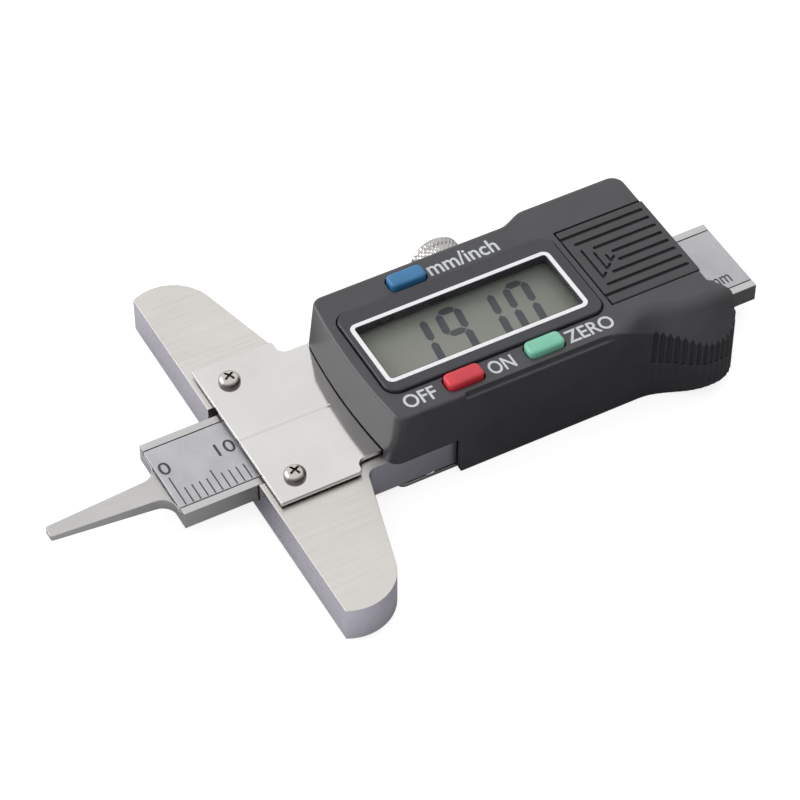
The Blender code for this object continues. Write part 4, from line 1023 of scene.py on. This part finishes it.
def build_ticks():
    """Millimetre lines, longer at each five and longest at each ten."""
    bm = bmesh.new()
    for number in range(TICK_COUNT):
        x = TICK_ZERO_X + number
        top = [y for every, y in TICK_TOPS if number % every == 0][-1]
        x_low, x_high = x - TICK_HALF_WIDTH, x + TICK_HALF_WIDTH
        box(x_low, x_high, TICK_BOTTOM_Y, top, STRIP_PRINT, STRIP_PRINT + PRINT_THICKNESS, bm)
    return bm


piece("scale_ticks", build_ticks(), "beam", DARK_INK)
STRIP_WORDS = {
    "scale_number_0": ("0", (-32.95, -31.5, 0.45, 2.5)),
    "scale_unit": ("mm", (43.6, 46.6, -4.3, -2.9)),
}
for tens in (1, 2, 3, 4, 5):
    x_low = -25.35 + (tens - 1) * 10
    STRIP_WORDS["scale_number_%d0" % tens] = ("%d0" % tens, (x_low, x_low + 2.5, 0.05, 2.15))
for words_name, (words, area) in STRIP_WORDS.items():
    lettering(words_name, words, area, STRIP_PRINT, "beam", DARK_INK, bold=0.003)


# Keys

KEY_BOTTOM = 11.4
KEY_SHOULDER = 0.42
KEY_SHOULDER_RISE = 0.9
KEY_CROWN = 0.1
KEY_STEPS = 6
# Half length, half width and top of the tabs; radius, bottom and overlap of the stem.
KEY_TABS = (3.2, 0.65, 12.0)
KEY_STEM = (0.8, 10.4, 0.3)


def build_key(place, top):
    """Cap with a crowned top and round shoulders, standing on its tabs and stem."""
    x, y = place
    outline = key_outline(place, 0.0, KEY_STEPS)
    rings = [at_height(outline, KEY_BOTTOM), at_height(outline, top - KEY_SHOULDER)]
    rings += rounded_top(outline, top - KEY_SHOULDER, KEY_SHOULDER, KEY_STEPS, KEY_SHOULDER_RISE)
    inner = inset(outline, KEY_SHOULDER)
    for share in (0.6, 0.25):
        ring_points = [(x + (px - x) * share, y + (py - y) * share) for px, py in inner]
        rings.append(at_height(ring_points, top - KEY_SHOULDER * KEY_CROWN * share))
    half_length, half_width, tab_top = KEY_TABS
    tabs = box(x - half_length, x + half_length, y - half_width, y + half_width, KEY_BOTTOM, tab_top)
    radius, stem_bottom, overlap = KEY_STEM
    stem = columns([place], radius, stem_bottom, KEY_BOTTOM + overlap)
    return carve(loft(bmesh.new(), rings), ("join", tabs), ("join", stem))


for key_name, (place, finish, slot_name) in KEYS.items():
    node = key_name + "_button"
    top_z = millimetres(node)[1][2]
    piece(key_name + "_cap", build_key(place, top_z), key_name + "_key", finish, [node], 50)


# Battery cover

GROOVE_WIDTH = 0.54
GROOVE_DEPTH = 0.4
GROOVE_END_X = 38.15
GROOVE_MIDDLE = -0.05
# Distance from the middle line, and where the groove starts.
LONG_GROOVES = ((0.8, 31.1), (2.4, 29.3), (4.0, 27.5), (5.6, COVER_X - 0.5))
# Place along the cover and half length of the crosswise grooves inside the arrow.
CROSS_GROOVES = ((27.55, 2.7), (28.78, 1.6), (29.95, 0.6))
BARB = (0.75, 0.62)
CROSS_GROOVE_SHARE = 0.7
COVER_FRONT_SEAM = 0.12
COVER_SIDE_SEAM = 0.1
COVER_REAR_SEAM = 0.25
COVER_SLAB = 0.8
COVER_REAR_ROUND = 0.4
COVER_EDGE_ROUND = 0.12
RAIL_LENGTH = 12.7
RAIL_WIDTH = 0.45
TONGUE_HEIGHT = 0.6


def slot_cut(bm, first, last, width, z_low, z_high):
    """Straight slot with rounded ends."""
    along = Vector(last) - Vector(first)
    heading = math.degrees(math.atan2(along.y, along.x))
    outline = arc(last, width / 2, heading - 90, heading + 90, 6)
    outline += arc(first, width / 2, heading + 90, heading + 270, 6)
    prism(outline, z_low, z_high, bm)


def build_battery_cover():
    """Sliding cover: long grooves, and an arrow of crosswise ones that points to the rear."""
    half_width = COVER_HALF_WIDTH - COVER_SIDE_SEAM
    y_low, y_high = CELL_OFFSET - half_width, CELL_OFFSET + half_width
    low, high = millimetres("battery_cover")
    top = high[2]
    floor = top - GROOVE_DEPTH
    end_x = COVER_END_X - COVER_REAR_SEAM

    def at_rear_top(middle):
        return middle.x > end_x - 0.01 and middle.z > top - 0.01

    def off_the_rear(middle):
        return middle.x < COVER_END_X - 1.0

    slab = box(COVER_X + COVER_FRONT_SEAM, end_x, y_low, y_high, top - COVER_SLAB, top)
    round_edges(slab, COVER_REAR_ROUND, 4, where=at_rear_top)
    round_edges(slab, COVER_EDGE_ROUND, 2, where=off_the_rear)
    long_cuts = bmesh.new()
    for reach, start_x in LONG_GROOVES:
        for side in (-1, 1):
            y = GROOVE_MIDDLE + side * reach
            slot_cut(long_cuts, (start_x, y), (GROOVE_END_X, y), GROOVE_WIDTH, floor, top + OVERRUN)
    cross_cuts = bmesh.new()
    barb_cuts = bmesh.new()
    thin = GROOVE_WIDTH * CROSS_GROOVE_SHARE
    for x, reach in CROSS_GROOVES:
        near = (x, GROOVE_MIDDLE - reach)
        slot_cut(cross_cuts, near, (x, GROOVE_MIDDLE + reach), thin, floor, top + OVERRUN)
        slot_cut(barb_cuts, near, (near[0] + BARB[0], near[1] + BARB[1]), thin, floor, top + OVERRUN)
    steps = [("cut", long_cuts), ("cut", cross_cuts), ("cut", barb_cuts)]
    outer = COVER_HALF_WIDTH - COVER_RAIL
    inner = outer - RAIL_WIDTH
    rail_x = REAR_X - RAIL_LENGTH
    rail_end = end_x - 0.05
    for side in (-1, 1):
        rail = sorted((CELL_OFFSET + side * inner, CELL_OFFSET + side * outer))
        tongue = sorted((CELL_OFFSET + side * inner, CELL_OFFSET + side * (outer + COVER_TONGUE)))
        steps.append(("join", box(rail_x, rail_end, *rail, low[2], top - COVER_SLAB / 2)))
        steps.append(("join", box(rail_x, rail_end, *tongue, low[2], low[2] + TONGUE_HEIGHT)))
    return carve(slab, *steps)


piece("sliding_cover", build_battery_cover(), "cover", COVER, ["battery_cover"], 40)


# Screws and knob

def cross_arms(reach, width, depth, angle_deg):
    """The two tapering arms of a cross recess whose mouth is at the origin, each as its own tool."""
    arms = []
    for quarter in (0, 1):
        turn = Matrix.Rotation(math.radians(angle_deg + 90 * quarter), 3, "Z")
        rings = []
        for share, z in ((0.55, -depth), (1.0, 0.05), (1.0, 1.0)):
            half = Vector((reach * share, width / 2 * (0.6 + 0.4 * share)))
            corners = [(-half.x, -half.y), (half.x, -half.y), (half.x, half.y), (-half.x, half.y)]
            rings.append([tuple(turn @ Vector((x, y, z))) for x, y in corners])
        arms.append(loft(bmesh.new(), rings))
    return arms


def cut_cross(body, arms, place):
    for arm in arms:
        bmesh.ops.transform(arm, matrix=place, verts=arm.verts)
    return carve(body, *[("cut", arm) for arm in arms])


PAN_RADIUS = 1.42
PAN_RIM = 0.22
PAN_SHANK = 0.8
# Reach, width and depth of the cross recess.
PAN_CROSS = (0.88, 0.34, 0.55)
CASE_CROSS = (0.6, 0.22, 0.28)
CASE_SHANK = 0.6
CASE_HEAD = 0.4


def build_pan_screw(node, angle_deg):
    """Domed head with a cross recess, over its shank."""
    low, high = millimetres(node)
    x, y = key_place(node)
    bottom = PLATE_TOP + 0.02
    top = high[2]
    rim = bottom + PAN_RIM
    profile = [(PAN_SHANK, low[2]), (PAN_SHANK, bottom), (PAN_RADIUS, bottom), (PAN_RADIUS, rim)]
    steps = 8
    for i in range(1, steps):
        angle = math.pi / 2 * i / steps
        profile.append((PAN_RADIUS * math.cos(angle) ** 0.8, rim + (top - rim) * math.sin(angle)))
    profile.append((0.12, top))
    body = turned((x, y), profile)
    return cut_cross(body, cross_arms(*PAN_CROSS, angle_deg), Matrix.Translation((x, y, top - 0.05)))


for name, node, angle in (("near", "cover_plate_screw_1", 24), ("far", "cover_plate_screw_2", 28)):
    piece("pan_screw_" + name, build_pan_screw(node, angle), "housing", SCREW, [node], 40)


def build_case_screw(node, angle_deg):
    """Flat countersunk head, seen from below, over its shank."""
    low, high = millimetres(node)
    x, y = key_place(node)
    bottom = low[2]
    head = bottom + CASE_HEAD
    profile = [(0.74, bottom), (0.86, bottom + 0.05), (0.9, bottom + 0.14), (0.9, head)]
    profile += [(CASE_SHANK, head), (CASE_SHANK, high[2])]
    body = turned((x, y), profile, 40)
    flip = Matrix.Translation((x, y, bottom)) @ Matrix.Rotation(math.pi, 4, "X")
    return cut_cross(body, cross_arms(*CASE_CROSS, angle_deg), flip)


for number, angle in ((1, 15), (2, 60), (3, 38), (4, 80)):
    node = "back_screw_%d" % number
    screw = build_case_screw(node, angle)
    piece("case_screw_%d" % number, screw, "housing", SCREW, [node], 40)


KNOB_RADIUS = 3.6
KNOB_EDGE_RADIUS = 3.3
KNOB_LENGTH = 4.7
KNOB_COLLAR = 2.8
KNOB_COLLAR_RADIUS = 1.8
KNOB_STEM_RADIUS = 1.0
KNURL_DEPTH = 0.24
KNURL_FADED = 0.05
KNURL_TURNS = 18
KNURL_WIND = 2.05 * 1.9


def build_knob():
    """Thumb screw with a crossed knurl on its head."""
    low, high = millimetres("lock_screw")
    tip = low[1]
    end = high[1]
    head = end - KNOB_LENGTH
    collar = head - KNOB_COLLAR
    steps = 144
    axial = 22
    rings = []

    def plain(*profile):
        for radius, y in profile:
            rings.append(at_height(circle((0, 0), radius, steps), y))

    plain((0.7, tip), (KNOB_STEM_RADIUS, tip + 0.3), (KNOB_STEM_RADIUS, collar))
    plain((KNOB_COLLAR_RADIUS, collar + 0.02), (KNOB_COLLAR_RADIUS, head))
    plain((3.05, head + 0.01), (KNOB_EDGE_RADIUS, head + 0.12))
    for k in range(axial + 1):
        y = head + 0.4 + (end - 0.8 - head) * k / axial
        wind = (y - head) * KNURL_WIND
        fade = min(k, axial - k, 2) / 2
        ring_points = []
        for i in range(steps):
            angle = 2 * math.pi * i / steps
            first = abs(math.sin(angle * KNURL_TURNS + wind))
            second = abs(math.sin(angle * KNURL_TURNS - wind))
            depth = KNURL_DEPTH * (1 - min(first, second)) * fade + KNURL_FADED * (1 - fade)
            reach = KNOB_RADIUS - depth
            ring_points.append((reach * math.cos(angle), reach * math.sin(angle)))
        rings.append(at_height(ring_points, y))
    plain((KNOB_EDGE_RADIUS, end - 0.12), (3.0, end), (1.2, end), (1.0, end - 0.12))
    bm = loft(bmesh.new(), rings)
    bmesh.ops.transform(bm, matrix=facing_far(*lock_axis()), verts=bm.verts)
    return bm


piece("lock_knob", build_knob(), "lock", KNOB, ["lock_screw"], 30)


# Steel pieces with softened edges

def softened(name, node, body, finish, width):
    """The node's shape with rounded edges."""
    bm = round_edges(node_copy(node), width)
    return piece(name, bm, body, finish, [node], level_only=False)


softened("wing_base", "measuring_base", "housing", SATIN, 0.14)
softened("rear_cover_sheet", "back_plate", "housing", FRAME, 0.08)
softened("front_sheet", "cover_plate", "housing", PLATE, 0.10)
softened("slider_bar", "beam", "beam", BEAM, 0.10)
softened("printed_scale", "scale_strip", "beam", STRIP, 0.05)


# CAD nodes that keep their own shape

for node, finish in (
    ("gib_strip", CONTACT), ("display_lens", LENS), ("lcd_panel", LCD), ("connector_strip_near", ZEBRA),
    ("connector_strip_far", ZEBRA), ("circuit_board", BOARD), ("units_dome", DOME), ("power_dome", DOME),
    ("zero_dome", DOME), ("coin_cell", CONTACT), ("battery_contact_side", CONTACT),
    ("battery_contact_base", CONTACT),
):
    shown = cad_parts[node]
    if not shown.material_slots:
        shown.data.materials.append(finish)
    for slot in shown.material_slots:
        slot.material = finish


# Floor, light and camera

FLOOR_HALF = 1500.0
FLOOR_LEVEL = -0.03
# What the floor sends onto the object changes from the near tone, which is painted shade, to the front tone
# between these places.
FLOOR_BLEND_X = (10.0, -40.0)
FLOOR_NEAR_SHADE_TONE = (0.21, 0.21, 0.22)
FLOOR_FRONT_TONE = (0.84, 0.84, 0.86)
FLOOR_SEEN_TONE = (0.38, 0.38, 0.38)
FLOOR_GLOW = 0.80
SKY_AXIS = (-0.25, 0.62, 0.74)
SKY_SPREAD = (-0.45, 0.50)
SKY_DIM = 0.24
SKY_BRIGHT = 1.02
SOFTBOX_AXIS = (-0.82, 0.55, 0.14)
SOFTBOX_SPREAD = (0.78, 0.94)
SOFTBOX_GAIN = 2.4
SENSOR_WIDTH = 36.0
FOCAL_PIXELS = 3267.0
IMAGE_PIXELS = 800.0
CAMERA_PLACE = (-133.674, -246.365, 305.394)
CAMERA_RIGHT = (0.8789, -0.4771, -0.0006)
CAMERA_DOWN = (-0.3503, -0.6445, -0.6797)
CAMERA_AHEAD = (0.3239, 0.5975, -0.7335)


def build_floor():
    """White paper that looks evenly lit; what it sends onto the object is dimmer on the near side, where its
    colour is painted shade.
    """
    bm = bmesh.new()
    half = FLOOR_HALF * MM
    corners = [(-half, -half), (half, -half), (half, half), (-half, half)]
    bm.faces.new([bm.verts.new((x, y, FLOOR_LEVEL * MM)) for x, y in corners])
    mesh = bpy.data.meshes.new("floor")
    bm.to_mesh(mesh)
    bm.free()
    made = bpy.data.objects.new("floor", mesh)
    bpy.context.scene.collection.objects.link(made)
    finish = Finish("paper_floor", (0.35, 0.35, 0.355), 0.8, specular=0.0)
    start_x, end_x = FLOOR_BLEND_X
    front = finish.remap(finish.split(finish.place)["X"], start_x * MM, end_x * MM)
    tone = finish.mix(front, FLOOR_NEAR_SHADE_TONE, FLOOR_FRONT_TONE)
    seen = finish.node("ShaderNodeLightPath").outputs["Is Camera Ray"]
    finish.colour(finish.mix(seen, tone, FLOOR_SEEN_TONE))
    finish.shader.inputs["Emission Color"].default_value = (1.0, 1.0, 1.0, 1.0)
    finish.link(finish.math("MULTIPLY", seen, FLOOR_GLOW), finish.shader.inputs["Emission Strength"])
    mesh.materials.append(finish.material)


def build_world():
    """Studio surround: bright above and behind, dimmer on the near side, a low softbox at the far left."""
    world = bpy.data.worlds.new("studio")
    bpy.context.scene.world = world
    world.use_nodes = True
    tree = world.node_tree
    background = tree.nodes["Background"]
    place = tree.nodes.new("ShaderNodeTexCoord")

    def lobe(axis, dots, low, high):
        dot = tree.nodes.new("ShaderNodeVectorMath")
        dot.operation = "DOT_PRODUCT"
        dot.inputs[1].default_value = Vector(axis).normalized()
        tree.links.new(place.outputs["Generated"], dot.inputs[0])
        spread = tree.nodes.new("ShaderNodeMapRange")
        spread.interpolation_type = "SMOOTHSTEP"
        spread.inputs["From Min"].default_value = dots[0]
        spread.inputs["From Max"].default_value = dots[1]
        spread.inputs["To Min"].default_value = low
        spread.inputs["To Max"].default_value = high
        tree.links.new(dot.outputs["Value"], spread.inputs["Value"])
        return spread.outputs["Result"]

    total = tree.nodes.new("ShaderNodeMath")
    total.operation = "ADD"
    tree.links.new(lobe(SKY_AXIS, SKY_SPREAD, SKY_DIM, SKY_BRIGHT), total.inputs[0])
    tree.links.new(lobe(SOFTBOX_AXIS, SOFTBOX_SPREAD, 0.0, SOFTBOX_GAIN), total.inputs[1])
    tree.links.new(total.outputs["Value"], background.inputs["Strength"])
    background.inputs["Color"].default_value = (1.0, 1.0, 1.0, 1.0)


def build_camera():
    data = bpy.data.cameras.new("camera")
    data.sensor_width = SENSOR_WIDTH
    data.lens = SENSOR_WIDTH * FOCAL_PIXELS / IMAGE_PIXELS
    data.clip_start = 0.01
    data.clip_end = 20.0
    made = bpy.data.objects.new("camera", data)
    axes = (Vector(CAMERA_RIGHT), -Vector(CAMERA_DOWN), -Vector(CAMERA_AHEAD))
    turn = Matrix(axes).transposed().to_4x4()
    made.matrix_world = Matrix.Translation(Vector(CAMERA_PLACE) * MM) @ turn
    bpy.context.scene.collection.objects.link(made)
    bpy.context.scene.camera = made


build_floor()
build_world()
build_camera()
bpy.context.scene.view_settings.view_transform = "Standard"
